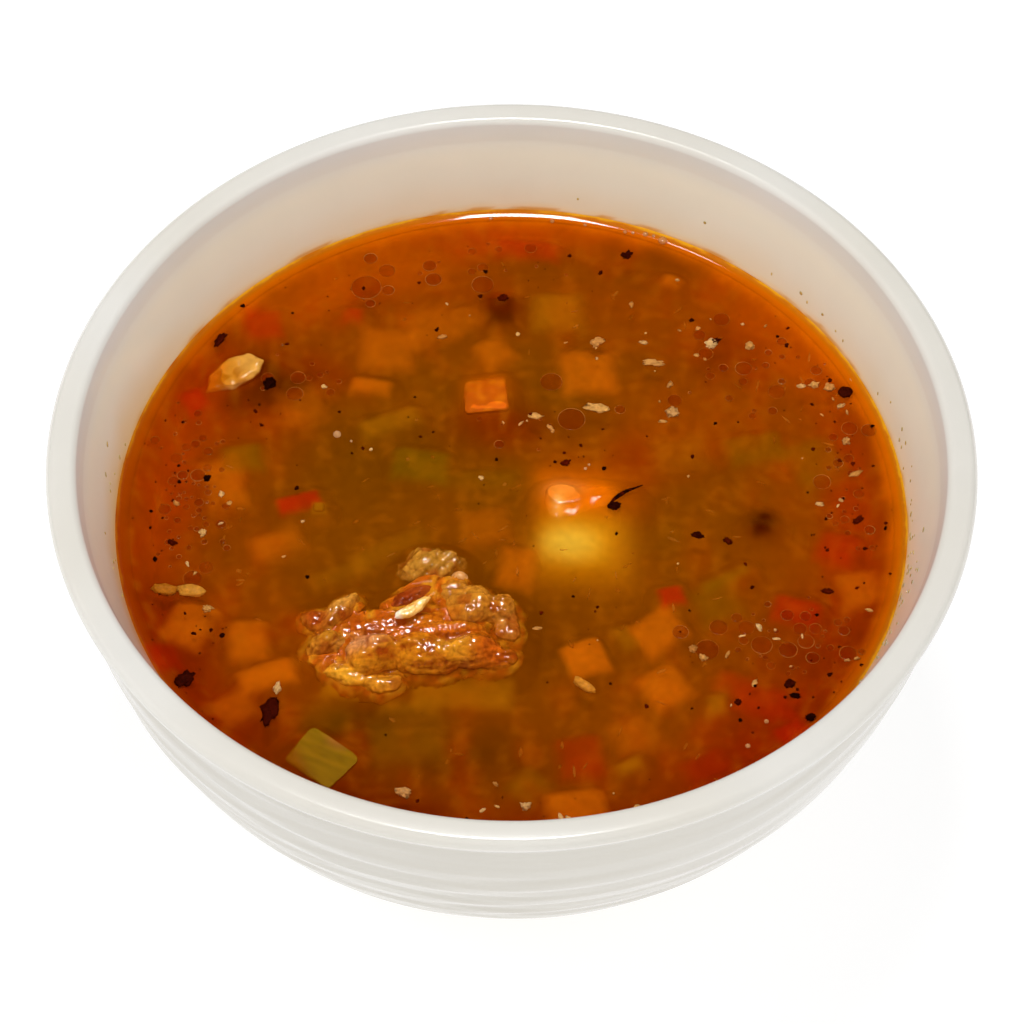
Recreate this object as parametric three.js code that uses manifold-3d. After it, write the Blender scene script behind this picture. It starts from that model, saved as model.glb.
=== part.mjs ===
// A round glazed soup bowl filled with rice and meat soup.
// Millimetres, +Z up. The origin is the middle of the foot ring's resting face.
// +X runs to the right and +Y runs away from the side that faces the eater.
import * as THREE from 'three';
import { mergeVertices } from 'three/addons/utils/BufferGeometryUtils.js';
import Module from 'manifold-3d';

const wasm = await Module();
wasm.setup();

// ---------------------------------------------------------------- driving dimensions

const BOWL_SEGMENTS = 44;
const SOUP_SEGMENTS = 40;

// The bowl: two arcs make the wall, and a rounded lip ends it.
const RIM_RADIUS = 75;
const BOWL_HEIGHT = 70;
const WALL = 6.1;
const WALL_ARC_RADIUS = 88.6;
const WALL_ARC_DROP = 2.1;
const BELLY_ARC_RADIUS = 26;
const BELLY_START = THREE.MathUtils.degToRad(37.3);
const BELLY_END = THREE.MathUtils.degToRad(80);
const LIP_OVERHANG = 2.1;
const LIP_WIDTH = 5;
const LIP_EDGE = 1.4;
const LIP_BAND = 2.1;
const LIP_UNDERCUT = 3.3;
const LIP_INNER_TURN = THREE.MathUtils.degToRad(160);
const FLARE_RISE = 14.4;
const FLARE_OUT = 4.3;
const FLARE_BEND = 0.25;
const FOOT_OUTER_RADIUS = 37.2;
const FOOT_WIDTH = 4.6;
const FOOT_EDGE = 0.6;

// The soft ribs that a thrower's fingers left on the outer wall.
const RIB_PITCH = 7;
const RIB_HEIGHT = 0.24;
const RIB_STEPS_PER_PITCH = 3;

// The soup, filled to a level under the rim, creeping up the wall a little.
const SOUP_DEPTH_BELOW_RIM = 17.7;
const SOUP_LEVEL = BOWL_HEIGHT - SOUP_DEPTH_BELOW_RIM;
const MENISCUS_RISE = 0.5;
const MENISCUS_WIDTH = 3.2;
const FLAKE_THICKNESS = 0.9;
const GRAIN_THICKNESS = 1.5;
const FLOAT_SHARE = 0.15;

// Clearances: soup to bowl, piece to piece, and soup to a piece.
const SOUP_GAP = 0.3;
const NEIGHBOUR_GAP = 0.42;
const POCKET_GAP = 0.56;

// ---------------------------------------------------------------- shared helpers

/** A closed geometry as a solid: only positions are kept, and equal corners are merged. */
function toSolid(geometry) {
  const bare = geometry.clone();
  bare.deleteAttribute('normal');
  bare.deleteAttribute('uv');
  const merged = mergeVertices(bare, 1e-4);
  const vertProperties = new Float32Array(merged.attributes.position.array);
  const triVerts = new Uint32Array(merged.index.array);
  return new wasm.Manifold(new wasm.Mesh({ numProp: 3, vertProperties, triVerts }));
}

/** A solid as a geometry. */
function toGeometry(solid) {
  const mesh = solid.getMesh();
  const geometry = new THREE.BufferGeometry();
  geometry.setAttribute('position', new THREE.BufferAttribute(new Float32Array(mesh.vertProperties), 3));
  geometry.setIndex(new THREE.BufferAttribute(new Uint32Array(mesh.triVerts), 1));
  geometry.computeVertexNormals();
  return geometry;
}

/** The joined form of several solids. */
function joined(solids) {
  return solids.reduce((whole, next) => whole.add(next));
}

/** The largest connected body of a solid, so that no loose scrap is left. */
function mainBody(solid) {
  const bodies = solid.decompose();
  return bodies.reduce((best, next) => (next.volume() > best.volume() ? next : best));
}

/** Smooth unevenness from -1 to 1 at a place, told apart by a seed. */
function unevenness(x, y, z, seed) {
  const a = Math.sin(1.7 * x + 2.3 * y - 1.1 * z + seed * 2.399);
  const b = Math.sin(-2.6 * x + 1.2 * y + 2.1 * z + seed * 4.173);
  const c = Math.sin(1.3 * x - 1.9 * y + 3.1 * z + seed * 1.317);
  return (a + b + c) / 3;
}

/** Points on an arc of a profile: angle 0 points outwards and grows downwards. */
function profileArc(centre, radius, from, to, steps) {
  const points = [];
  for (let i = 0; i <= steps; i += 1) {
    const angle = from + ((to - from) * i) / steps;
    points.push(new THREE.Vector2(centre.x + radius * Math.cos(angle), centre.y - radius * Math.sin(angle)));
  }
  return points;
}

// ---------------------------------------------------------------- the bowl

const wallCentre = new THREE.Vector2(
  RIM_RADIUS - LIP_OVERHANG - WALL_ARC_RADIUS,
  BOWL_HEIGHT - WALL_ARC_DROP,
);
const bellyCentre = new THREE.Vector2(
  wallCentre.x + (WALL_ARC_RADIUS - BELLY_ARC_RADIUS) * Math.cos(BELLY_START),
  wallCentre.y - (WALL_ARC_RADIUS - BELLY_ARC_RADIUS) * Math.sin(BELLY_START),
);
const UNDERSIDE = bellyCentre.y - BELLY_ARC_RADIUS;
const INNER_FLOOR = UNDERSIDE + WALL;

/** The inner wall's outline from the middle of the floor up to the soup line, pulled in by an inset. */
function innerOutline(inset) {
  const bellyRadius = BELLY_ARC_RADIUS - WALL - inset;
  const wallRadius = WALL_ARC_RADIUS - WALL - inset;
  const soupAngle = Math.asin((wallCentre.y - SOUP_LEVEL) / wallRadius);
  return [
    new THREE.Vector2(0, INNER_FLOOR + inset),
    ...profileArc(bellyCentre, bellyRadius, Math.PI / 2, BELLY_START, 4),
    ...profileArc(wallCentre, wallRadius, BELLY_START, soupAngle, 4).slice(1),
  ];
}

/** The foot ring and the outer wall, from the middle of the underside up to the lip. */
function outerOutline() {
  const footInner = FOOT_OUTER_RADIUS - FOOT_WIDTH;
  const undercutAngle = Math.asin(LIP_UNDERCUT / WALL_ARC_RADIUS);
  const wallLength = WALL_ARC_RADIUS * (BELLY_START - undercutAngle);
  const wallSteps = Math.round((wallLength / RIB_PITCH) * RIB_STEPS_PER_PITCH);
  return [
    new THREE.Vector2(0, UNDERSIDE),
    new THREE.Vector2(footInner - FOOT_EDGE, UNDERSIDE),
    new THREE.Vector2(footInner, FOOT_EDGE),
    new THREE.Vector2(footInner + FOOT_EDGE, 0),
    new THREE.Vector2(FOOT_OUTER_RADIUS - FOOT_EDGE, 0),
    new THREE.Vector2(FOOT_OUTER_RADIUS, FOOT_EDGE),
    ...profileArc(bellyCentre, BELLY_ARC_RADIUS, BELLY_END, BELLY_START, 6),
    ...profileArc(wallCentre, WALL_ARC_RADIUS, BELLY_START, undercutAngle, wallSteps).slice(1),
  ];
}

/** The lip: a sloping underside, a short upright band, and a flat top between two round edges. */
function lipOutline() {
  const edgeHeight = BOWL_HEIGHT - LIP_EDGE;
  const outerEdge = new THREE.Vector2(RIM_RADIUS - LIP_EDGE, edgeHeight);
  const innerEdge = new THREE.Vector2(RIM_RADIUS - LIP_WIDTH + LIP_EDGE, edgeHeight);
  return [
    new THREE.Vector2(RIM_RADIUS - LIP_OVERHANG / 2, BOWL_HEIGHT - LIP_BAND - LIP_OVERHANG / 2),
    new THREE.Vector2(RIM_RADIUS, BOWL_HEIGHT - LIP_BAND),
    ...profileArc(outerEdge, LIP_EDGE, 0, -Math.PI / 2, 3),
    ...profileArc(innerEdge, LIP_EDGE, -Math.PI / 2, -LIP_INNER_TURN, 2),
  ];
}

/** The whole outline of the bowl, from the underside round the lip to the inner floor. */
function bowlOutline() {
  const inner = innerOutline(0).reverse();
  const soupLine = inner[0];
  const flare = [2 / 3, 1 / 3].map((share) => new THREE.Vector2(
    soupLine.x + FLARE_OUT * share * (1 - FLARE_BEND + FLARE_BEND * share),
    soupLine.y + FLARE_RISE * share,
  ));
  return [...outerOutline(), ...lipOutline(), ...flare, ...inner];
}

/** How far the ribs stand out at a place on the outer wall. */
function ribHeight(x, y, z) {
  const angle = Math.atan2(y, x);
  const wander = 1.3 * Math.sin(3 * angle + 0.8) + 0.8 * Math.sin(7 * angle + 2.1);
  const strength = 0.65 + 0.35 * Math.sin(2 * angle + z / 8);
  return RIB_HEIGHT * strength * Math.sin((2 * Math.PI * (z + wander)) / RIB_PITCH);
}

function makeBowl() {
  const geometry = new THREE.LatheGeometry(bowlOutline(), BOWL_SEGMENTS);
  geometry.rotateX(Math.PI / 2);
  const position = geometry.attributes.position;
  const ribFoot = wallCentre.y - WALL_ARC_RADIUS * Math.sin(BELLY_START);
  const ribTop = BOWL_HEIGHT - LIP_BAND - LIP_UNDERCUT;
  for (let i = 0; i < position.count; i += 1) {
    const x = position.getX(i);
    const y = position.getY(i);
    const z = position.getZ(i);
    const radius = Math.hypot(x, y);
    const wallAngle = Math.asin(Math.min(1, (wallCentre.y - z) / WALL_ARC_RADIUS));
    const wallRadius = wallCentre.x + WALL_ARC_RADIUS * Math.cos(wallAngle);
    const onOuterWall = z > ribFoot && z < ribTop && radius > wallRadius - WALL / 2;
    if (onOuterWall) {
      const grown = 1 + ribHeight(x, y, z) / radius;
      position.setX(i, x * grown);
      position.setY(i, y * grown);
    }
  }
  return toSolid(geometry);
}

// ---------------------------------------------------------------- how pieces of food are shaped

/** Turns a piece and sets it down: x and y in the bowl, height above the soup's level. */
function placed(geometry, { at, turn = 0, tilt = 0, roll = 0 }) {
  const { degToRad } = THREE.MathUtils;
  geometry.rotateY(degToRad(roll));
  geometry.rotateX(degToRad(tilt));
  geometry.rotateZ(degToRad(turn));
  geometry.translate(at[0], at[1], SOUP_LEVEL + at[2]);
  return geometry;
}

/** A lump of meat, fat or grain: a faceted ball stretched to its half sizes and made uneven. */
function lump(form, grow = 0) {
  const { half, uneven = 0.1, seed = 1, facets = 2, waves = 1.4 } = form;
  const geometry = new THREE.IcosahedronGeometry(1, facets);
  const position = geometry.attributes.position;
  for (let i = 0; i < position.count; i += 1) {
    const x = position.getX(i);
    const y = position.getY(i);
    const z = position.getZ(i);
    const swell = 1 + uneven * unevenness(waves * x, waves * y, waves * z, seed);
    position.setXYZ(
      i,
      x * (half[0] * swell + grow),
      y * (half[1] * swell + grow),
      z * (half[2] * swell + grow),
    );
  }
  return toSolid(placed(geometry, form));
}

/** Several lumps grown together into one piece. */
function lumps(form, grow = 0) {
  return joined(form.parts.map((part) => lump(part, grow)));
}

/** A diced piece: a block with bevelled edges and slightly uneven faces. */
function dice(form, grow = 0) {
  const { size, corner = 0.8, uneven = 0.25, seed = 1 } = form;
  const geometry = new THREE.BoxGeometry(2, 2, 2, 3, 3, 3);
  const position = geometry.attributes.position;
  const point = new THREE.Vector3();
  const outwards = new THREE.Vector3();
  for (let i = 0; i < position.count; i += 1) {
    for (let axis = 0; axis < 3; axis += 1) {
      const grid = position.getComponent(i, axis);
      point.setComponent(axis, Math.sign(grid) * (size[axis] / 2 - corner));
      outwards.setComponent(axis, Math.abs(grid) > 0.9 ? Math.sign(grid) : 0);
    }
    const bump = uneven * unevenness(point.x / 3, point.y / 3, point.z / 3, seed);
    point.addScaledVector(outwards.normalize(), corner + bump + grow);
    position.setXYZ(i, point.x, point.y, point.z);
  }
  return toSolid(placed(geometry, form));
}

/** A flat slice with a drawn outline, thinner towards its edge. */
function slice(form, grow = 0) {
  const { outline, thickness } = form;
  const shape = new THREE.Shape(outline.map(([x, y]) => new THREE.Vector2(x, y)));
  const edge = thickness * 0.3;
  const geometry = new THREE.ExtrudeGeometry(shape, {
    depth: thickness - 2 * edge + 2 * grow,
    bevelEnabled: true,
    bevelThickness: edge,
    bevelSize: edge + grow,
    bevelOffset: -edge,
    bevelSegments: 1,
  });
  geometry.translate(0, 0, edge - thickness / 2 - grow);
  return toSolid(placed(geometry, form));
}

// ---------------------------------------------------------------- the pieces that show

// Places are [x, y] in the bowl and a height above the soup's level, half is a half size.
const pieces = [
  // The long piece of stewed meat that lies across the front of the pile.
  {
    name: 'meat_chunk',
    material: 'meat',
    make: lumps,
    parts: [
      { at: [-22.0, -29.2, -1.2], half: [5.6, 3.7, 4.4], turn: 12, uneven: 0.16, seed: 3 },
      { at: [-14.2, -29.0, -1.4], half: [6.6, 3.8, 5.0], turn: -14, uneven: 0.16, seed: 8 },
      { at: [-6.6, -28.2, -1.5], half: [5.8, 3.4, 4.4], turn: 8, uneven: 0.16, seed: 12 },
      { at: [-12.6, -25.2, -1.2], half: [8.6, 1.9, 3.4], turn: 7, uneven: 0.14, seed: 5, facets: 1 },
      { at: [-16.6, -23.4, -1.1], half: [8.8, 3.6, 2.0], turn: 6, uneven: 0.2, seed: 14, facets: 1 },
      { at: [-25.6, -24.6, -1.0], half: [3.4, 3.0, 1.7], turn: 30, uneven: 0.2, seed: 15, facets: 1 },
      { at: [-26.6, -32.4, -0.9], half: [3.8, 2.3, 1.5], turn: -18, uneven: 0.25, seed: 16, facets: 1 },
      { at: [-20.6, -34.2, -1.0], half: [3.8, 1.9, 1.5], turn: 8, uneven: 0.25, seed: 17, facets: 1 },
      { at: [-2.2, -29.6, -1.0], half: [3.2, 2.0, 1.7], turn: 16, uneven: 0.25, seed: 19, facets: 1 },
    ],
  },
  // The paler, spongy piece behind it on the right.
  {
    name: 'meat_lobe',
    material: 'meat',
    make: lumps,
    parts: [
      { at: [-6.4, -20.0, -0.9], half: [4.9, 3.9, 3.8], turn: 10, uneven: 0.16, seed: 21 },
      { at: [-2.0, -20.4, -1.2], half: [3.4, 3.0, 3.4], turn: -20, uneven: 0.16, seed: 24, facets: 1 },
      { at: [-0.6, -23.8, -0.9], half: [2.2, 2.6, 1.5], turn: 20, uneven: 0.25, seed: 25, facets: 1 },
      { at: [-9.6, -16.6, -0.9], half: [3.0, 2.2, 1.6], turn: 30, uneven: 0.25, seed: 26, facets: 1 },
    ],
  },
  // The bent piece on the left: a finger that ends in a rounder knob.
  {
    name: 'meat_nugget',
    material: 'meat',
    make: lumps,
    parts: [
      { at: [-28.0, -21.6, -0.8], half: [4.8, 1.9, 3.0], turn: 52, uneven: 0.16, seed: 31, facets: 1 },
      { at: [-29.6, -27.2, -0.9], half: [3.4, 2.6, 3.2], turn: 15, uneven: 0.16, seed: 36 },
      { at: [-31.0, -22.6, -0.9], half: [2.2, 2.8, 1.5], turn: 50, uneven: 0.25, seed: 37, facets: 1 },
    ],
  },
  // The dark lean strip in the middle of the pile.
  {
    name: 'meat_shred',
    material: 'leanMeat',
    make: lump,
    at: [-16.1, -17.8, -0.8],
    half: [4.9, 1.8, 1.6],
    turn: 32,
    uneven: 0.12,
    seed: 51,
  },
  // The wrinkled piece behind, which only just breaks the surface.
  {
    name: 'meat_back',
    material: 'meat',
    make: lump,
    at: [-13.2, -11.2, -2.3],
    half: [5.8, 4.3, 3.1],
    turn: 12,
    uneven: 0.16,
    waves: 2.6,
    seed: 44,
  },
  // A cream-coloured wedge of fat that lies on the meat.
  {
    name: 'fat_sliver',
    material: 'fat',
    make: slice,
    outline: [[-3.3, -0.7], [-1.2, -1.25], [1.3, -0.7], [3.4, 0.9], [2.2, 1.3], [-0.6, 0.7], [-3.0, 0.2]],
    thickness: 1.1,
    at: [-15.7, -21.7, 2.15],
    turn: 22,
    tilt: 16,
  },
  // A bead of fat beside the wrinkled piece.
  {
    name: 'fat_bead',
    material: 'fat',
    make: lump,
    at: [-8.4, -14.0, -0.5],
    half: [1.5, 1.3, 1.3],
    uneven: 0.08,
    seed: 61,
    facets: 1,
  },
  // A potato chunk, tilted so that its back edge shows.
  {
    name: 'potato_chunk',
    material: 'potato',
    make: dice,
    at: [12.7, -2.0, -7.1],
    size: [16.6, 17.8, 10.2],
    corner: 2.2,
    uneven: 0.5,
    turn: -3,
    tilt: 14,
    roll: 7,
    seed: 71,
  },
  {
    name: 'carrot_dice',
    material: 'carrot',
    make: dice,
    at: [-4.4, 24.0, -3.7],
    size: [7.6, 7.8, 7.0],
    corner: 0.7,
    uneven: 0.2,
    turn: 6,
    tilt: -10,
    roll: -3,
    seed: 76,
  },
  {
    name: 'celery_dice',
    material: 'celery',
    make: dice,
    at: [-29.6, -48.4, -1.6],
    size: [9.6, 7.6, 3.4],
    turn: -38,
    tilt: 9,
    roll: -5,
    seed: 82,
  },
  {
    name: 'onion_piece',
    material: 'onion',
    make: slice,
    outline: [[-4.9, -3.3], [0.1, -2.8], [4.4, 0.2], [5.0, 2.9], [2.3, 4.6], [-1.3, 3.7], [-4.6, 0.4]],
    thickness: 2,
    at: [-47.3, 28.0, -0.95],
    roll: -8,
    tilt: 4,
  },
];

/** The space that a piece keeps free of its neighbours. */
function neighbourRoom(piece) {
  return piece.make(piece, NEIGHBOUR_GAP);
}

/** The wider pocket that a piece has in the soup. */
function soupPocket(piece) {
  return piece.make(piece, POCKET_GAP);
}

// ---------------------------------------------------------------- the soup

// Larger pepper flakes on the surface: x, y, length, width and turn in degrees.
const pepperFlakes = [
  [56.5, 25.2, 2.4, 2.3, 0], [-51.9, -34.0, 3.2, 2.2, 50], [-38.1, -39.9, 5.0, 2.6, 78],
  [19.9, 55.4, 1.8, 1.4, 20], [-1.7, 45.4, 1.5, 1.2, 0], [17.0, 0.9, 1.9, 1.3, 5],
  [19.2, 3.6, 5.2, 0.8, 33], [8.9, 9.7, 1.6, 0.9, 8], [30.6, -5.0, 1.9, 0.9, -8],
  [35.6, -6.1, 1.4, 1.0, -35], [57.2, -1.7, 1.9, 1.0, 40], [51.5, -16.0, 1.8, 0.9, -5],
  [44.6, -34.1, 1.5, 1.3, 0], [45.4, -36.3, 1.6, 0.8, -12], [47.6, -40.3, 1.6, 1.1, 12],
  [36.2, -37.6, 1.0, 0.9, 0], [-41.3, 26.2, 2.4, 1.8, 64], [-50.2, 35.8, 2.9, 1.2, 58],
  [-10.6, -60.6, 2.4, 1.2, -5], [-50.7, 6.0, 1.2, 0.9, 50], [34.8, 36.1, 1.5, 0.9, 35],
  [-55.6, -7.3, 1.4, 0.9, -30],
];

// Pale scraps of rice and onion on the surface, in the same order of values.
const paleScraps = [
  [14.5, 35.7, 2.2, 1.6, 30], [14.4, 21.4, 3.6, 1.5, -12], [27.0, 20.6, 2.0, 1.9, 20],
  [24.0, 31.2, 3.6, 1.0, -6], [34.1, 35.5, 2.0, 1.7, 15], [40.7, 35.1, 1.3, 1.5, 80],
  [56.1, 14.7, 1.4, 1.1, 60], [51.3, 26.7, 1.5, 1.1, 0], [53.9, 26.2, 1.7, 1.4, 0],
  [-16.7, -54.7, 2.2, 1.6, -10], [2.5, -57.2, 1.5, 1.2, 0], [20.1, -57.4, 1.3, 1.0, -40],
  [-37.1, -35.5, 1.0, 1.9, 0], [-49.1, -20.4, 1.6, 1.0, -8], [-50.8, -5.3, 1.1, 1.3, 0],
  [29.3, -27.5, 1.2, 1.2, 0], [30.9, -29.2, 1.3, 0.9, -30],
];

// Single grains of rice.
const riceGrains = [
  [-56.3, -16.7, 4.0, 1.8, -8], [-51.9, -16.9, 4.6, 2.0, -4], [11.8, -34.7, 3.8, 1.5, -38],
];

/** Small things of one kind that float half sunk in the surface. */
function floating(kind, height, facets) {
  return kind.map(([x, y, length, width, turn], i) => lump({
    at: [x, y, height * FLOAT_SHARE],
    half: [length / 2, width / 2, height / 2],
    turn,
    facets,
    seed: i + 1,
  }));
}

/** The soup's own outline: along the inner wall, up the meniscus and in over the surface. */
function soupOutline() {
  const wall = innerOutline(SOUP_GAP);
  const edge = wall[wall.length - 1];
  const wallSlope = (wallCentre.y - SOUP_LEVEL) / WALL_ARC_RADIUS;
  const meniscus = [
    [-MENISCUS_RISE * wallSlope, 1],
    [MENISCUS_WIDTH * 0.2, 0.45],
    [MENISCUS_WIDTH * 0.5, 0.12],
    [MENISCUS_WIDTH, 0],
  ];
  return [
    ...wall,
    ...meniscus.map(([inwards, share]) => new THREE.Vector2(edge.x - inwards, SOUP_LEVEL + MENISCUS_RISE * share)),
    new THREE.Vector2(0, SOUP_LEVEL),
  ];
}

function makeSoup() {
  const geometry = new THREE.LatheGeometry(soupOutline(), SOUP_SEGMENTS);
  geometry.rotateX(Math.PI / 2);
  const filled = joined([
    toSolid(geometry),
    ...floating(pepperFlakes, FLAKE_THICKNESS, 0),
    ...floating(paleScraps, FLAKE_THICKNESS, 0),
    ...floating(riceGrains, GRAIN_THICKNESS, 1),
  ]);
  return mainBody(filled.subtract(joined(pieces.map(soupPocket))));
}

// ---------------------------------------------------------------- assembly

const materials = {
  glaze: new THREE.MeshStandardMaterial({ color: 0xebe8e2, roughness: 0.25, metalness: 0 }),
  broth: new THREE.MeshStandardMaterial({ color: 0x9a4a08, roughness: 0.12, metalness: 0 }),
  meat: new THREE.MeshStandardMaterial({ color: 0xb5651d, roughness: 0.4, metalness: 0 }),
  leanMeat: new THREE.MeshStandardMaterial({ color: 0x8a3010, roughness: 0.4, metalness: 0 }),
  fat: new THREE.MeshStandardMaterial({ color: 0xeec070, roughness: 0.35, metalness: 0 }),
  potato: new THREE.MeshStandardMaterial({ color: 0xe0a040, roughness: 0.5, metalness: 0 }),
  carrot: new THREE.MeshStandardMaterial({ color: 0xd8650c, roughness: 0.45, metalness: 0 }),
  celery: new THREE.MeshStandardMaterial({ color: 0x8a7410, roughness: 0.45, metalness: 0 }),
  onion: new THREE.MeshStandardMaterial({ color: 0xd9963c, roughness: 0.4, metalness: 0 }),
};

const group = new THREE.Group();

function addPiece(name, solid, material) {
  const mesh = new THREE.Mesh(toGeometry(solid), material);
  mesh.name = name;
  group.add(mesh);
}

addPiece('bowl', makeBowl(), materials.glaze);
addPiece('soup', makeSoup(), materials.broth);

// Each piece gives way to the ones before it, so that touching pieces keep their clearance.
pieces.forEach((piece, i) => {
  const earlier = pieces.slice(0, i).map(neighbourRoom);
  const form = piece.make(piece);
  const cut = earlier.length > 0 ? form.subtract(joined(earlier)) : form;
  addPiece(piece.name, mainBody(cut), materials[piece.material]);
});

export default group;
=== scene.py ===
import math
import random

import bpy
import numpy as np
from mathutils import Matrix, Vector, noise
from mathutils.bvhtree import BVHTree


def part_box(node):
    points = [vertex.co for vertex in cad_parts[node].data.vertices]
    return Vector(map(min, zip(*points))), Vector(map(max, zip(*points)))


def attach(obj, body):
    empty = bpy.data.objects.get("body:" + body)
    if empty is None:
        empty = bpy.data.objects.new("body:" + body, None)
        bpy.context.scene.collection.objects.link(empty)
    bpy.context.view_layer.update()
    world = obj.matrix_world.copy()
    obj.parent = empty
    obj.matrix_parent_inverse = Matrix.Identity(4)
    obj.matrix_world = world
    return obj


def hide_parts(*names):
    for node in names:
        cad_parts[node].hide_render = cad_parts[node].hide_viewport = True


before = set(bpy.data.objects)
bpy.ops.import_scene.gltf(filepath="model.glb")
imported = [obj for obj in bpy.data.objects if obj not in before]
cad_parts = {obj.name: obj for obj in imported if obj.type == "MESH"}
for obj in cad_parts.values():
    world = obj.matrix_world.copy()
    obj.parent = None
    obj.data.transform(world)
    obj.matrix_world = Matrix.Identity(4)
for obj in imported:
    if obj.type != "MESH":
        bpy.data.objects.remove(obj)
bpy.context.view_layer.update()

# ---------------------------------------------------------------- the bowl
# A soup bowl of stoneware, thrown on a wheel, under a warm white glaze. The wall is two arcs and a
# flare, the lip is rolled slightly outwards, and the thrower's fingers left soft ribs outside.
# It stands on a turned foot ring. Just above the soup the wall keeps a thin orange tide line.
# Inside, the glaze is painted lighter and warmer, and outside below the lip greyer: painted light and
# shade.

MM = 0.001
bowl_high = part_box("bowl")[1]
RIM_RADIUS = min(bowl_high[0], bowl_high[1]) / MM
BOWL_HEIGHT = bowl_high[2] / MM
BOWL_SEGMENTS = 288
WALL = 6.1
WALL_ARC_RADIUS = 88.6
WALL_ARC_DROP = 2.1
BELLY_ARC_RADIUS = 26
BELLY_START = math.radians(37.3)
BELLY_END = math.radians(80)
LIP_OVERHANG = 2.1
LIP_WIDTH = 5
LIP_EDGE = 1.4
LIP_BAND = 2.1
LIP_UNDERCUT = 3.3
LIP_INNER_TURN = math.radians(160)
FLARE_RISE = 14.4
FLARE_OUT = 4.3
FLARE_BEND = 0.25
FOOT_OUTER_RADIUS = 37.2
FOOT_WIDTH = 4.6
FOOT_EDGE = 0.6
RIB_PITCH = 7
RIB_HEIGHT = 0.24
RIBS_BELOW_BELLY = 4
FINE_RIB_PITCH = 2.6
FINE_RIB_HEIGHT = 0.05
SOUP_BELOW_RIM = 17.7
SOUP_LINE = BOWL_HEIGHT - SOUP_BELOW_RIM
STAIN_HEIGHT = 8
TIDE_LINE_HEIGHT = 0.15
TIDE_HALO_HEIGHT = 1.6
CLAY_TOP = 0.9
CLAY_BLEND = 0.6

wall_x = RIM_RADIUS - LIP_OVERHANG - WALL_ARC_RADIUS
wall_z = BOWL_HEIGHT - WALL_ARC_DROP
belly_x = wall_x + (WALL_ARC_RADIUS - BELLY_ARC_RADIUS) * math.cos(BELLY_START)
belly_z = wall_z - (WALL_ARC_RADIUS - BELLY_ARC_RADIUS) * math.sin(BELLY_START)
UNDERSIDE = belly_z - BELLY_ARC_RADIUS


def arc(x, z, radius, start, end, steps):
    """Points on an arc of an outline: angle 0 points outwards and grows downwards."""
    angles = [start + (end - start) * i / steps for i in range(steps + 1)]
    return [(x + radius * math.cos(a), z - radius * math.sin(a)) for a in angles]


def inner_outline(inset, wall_steps=24):
    """The inner wall from the middle of the floor up to the soup line, pulled in by an inset."""
    wall_radius = WALL_ARC_RADIUS - WALL - inset
    soup_angle = math.asin((wall_z - SOUP_LINE) / wall_radius)
    floor = (0, UNDERSIDE + WALL + inset)
    belly = arc(belly_x, belly_z, BELLY_ARC_RADIUS - WALL - inset, math.pi / 2, BELLY_START, 12)
    wall = arc(wall_x, wall_z, wall_radius, BELLY_START, soup_angle, wall_steps)
    return [floor] + belly + wall[1:]


def bowl_outline():
    """The whole outline, from the underside round the lip to the inner floor."""
    foot_inner = FOOT_OUTER_RADIUS - FOOT_WIDTH
    undercut = math.asin(LIP_UNDERCUT / WALL_ARC_RADIUS)
    outer = [(0, UNDERSIDE), (foot_inner * 0.5, UNDERSIDE), (foot_inner - FOOT_EDGE, UNDERSIDE)]
    outer += [(foot_inner, FOOT_EDGE), (foot_inner + FOOT_EDGE, 0)]
    outer += [(FOOT_OUTER_RADIUS - FOOT_EDGE, 0), (FOOT_OUTER_RADIUS, FOOT_EDGE)]
    outer += arc(belly_x, belly_z, BELLY_ARC_RADIUS, BELLY_END, BELLY_START, 16)
    outer += arc(wall_x, wall_z, WALL_ARC_RADIUS, BELLY_START, undercut, 130)[1:]
    edge_z = BOWL_HEIGHT - LIP_EDGE
    lip = [(RIM_RADIUS - LIP_OVERHANG / 2, BOWL_HEIGHT - LIP_BAND - LIP_OVERHANG / 2)]
    lip += [(RIM_RADIUS - LIP_OVERHANG / 6, BOWL_HEIGHT - LIP_BAND - LIP_OVERHANG / 5)]
    lip += arc(RIM_RADIUS - LIP_EDGE, edge_z, LIP_EDGE, 0, -math.pi / 2, 8)
    lip += arc(RIM_RADIUS - LIP_WIDTH + LIP_EDGE, edge_z, LIP_EDGE, -math.pi / 2, -LIP_INNER_TURN, 7)
    inner = inner_outline(0)[::-1]
    soup_line = inner[0]
    flare = []
    for i in range(27, 0, -1):
        share = i / 28
        outwards = FLARE_OUT * share * (1 - FLARE_BEND + FLARE_BEND * share)
        flare.append((soup_line[0] + outwards, soup_line[1] + FLARE_RISE * share))
    return outer + lip + flare + inner


def lathe(outline, segments):
    """The corners and faces of a closed body turned from an outline that starts and ends on the axis."""
    points = [(0, 0, outline[0][1])]
    rings = outline[1:-1]
    for radius, z in rings:
        for s in range(segments):
            angle = 2 * math.pi * s / segments
            points.append((radius * math.cos(angle), radius * math.sin(angle), z))
    points.append((0, 0, outline[-1][1]))
    last = len(points) - 1
    faces = []
    for s in range(segments):
        n = (s + 1) % segments
        faces.append((0, 1 + n, 1 + s))
        for ring in range(len(rings) - 1):
            a = 1 + ring * segments
            b = a + segments
            faces.append((a + s, a + n, b + n, b + s))
        a = 1 + (len(rings) - 1) * segments
        faces.append((last, a + s, a + n))
    return np.array(points, float), faces


def make_object(name, points, faces):
    """A mesh object from corners in millimetres."""
    mesh = bpy.data.meshes.new(name)
    mesh.from_pydata([tuple(p) for p in np.asarray(points) * MM], [], faces)
    mesh.validate()
    mesh.update()
    for polygon in mesh.polygons:
        polygon.use_smooth = True
    obj = bpy.data.objects.new(name, mesh)
    bpy.context.scene.collection.objects.link(obj)
    return obj


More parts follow.
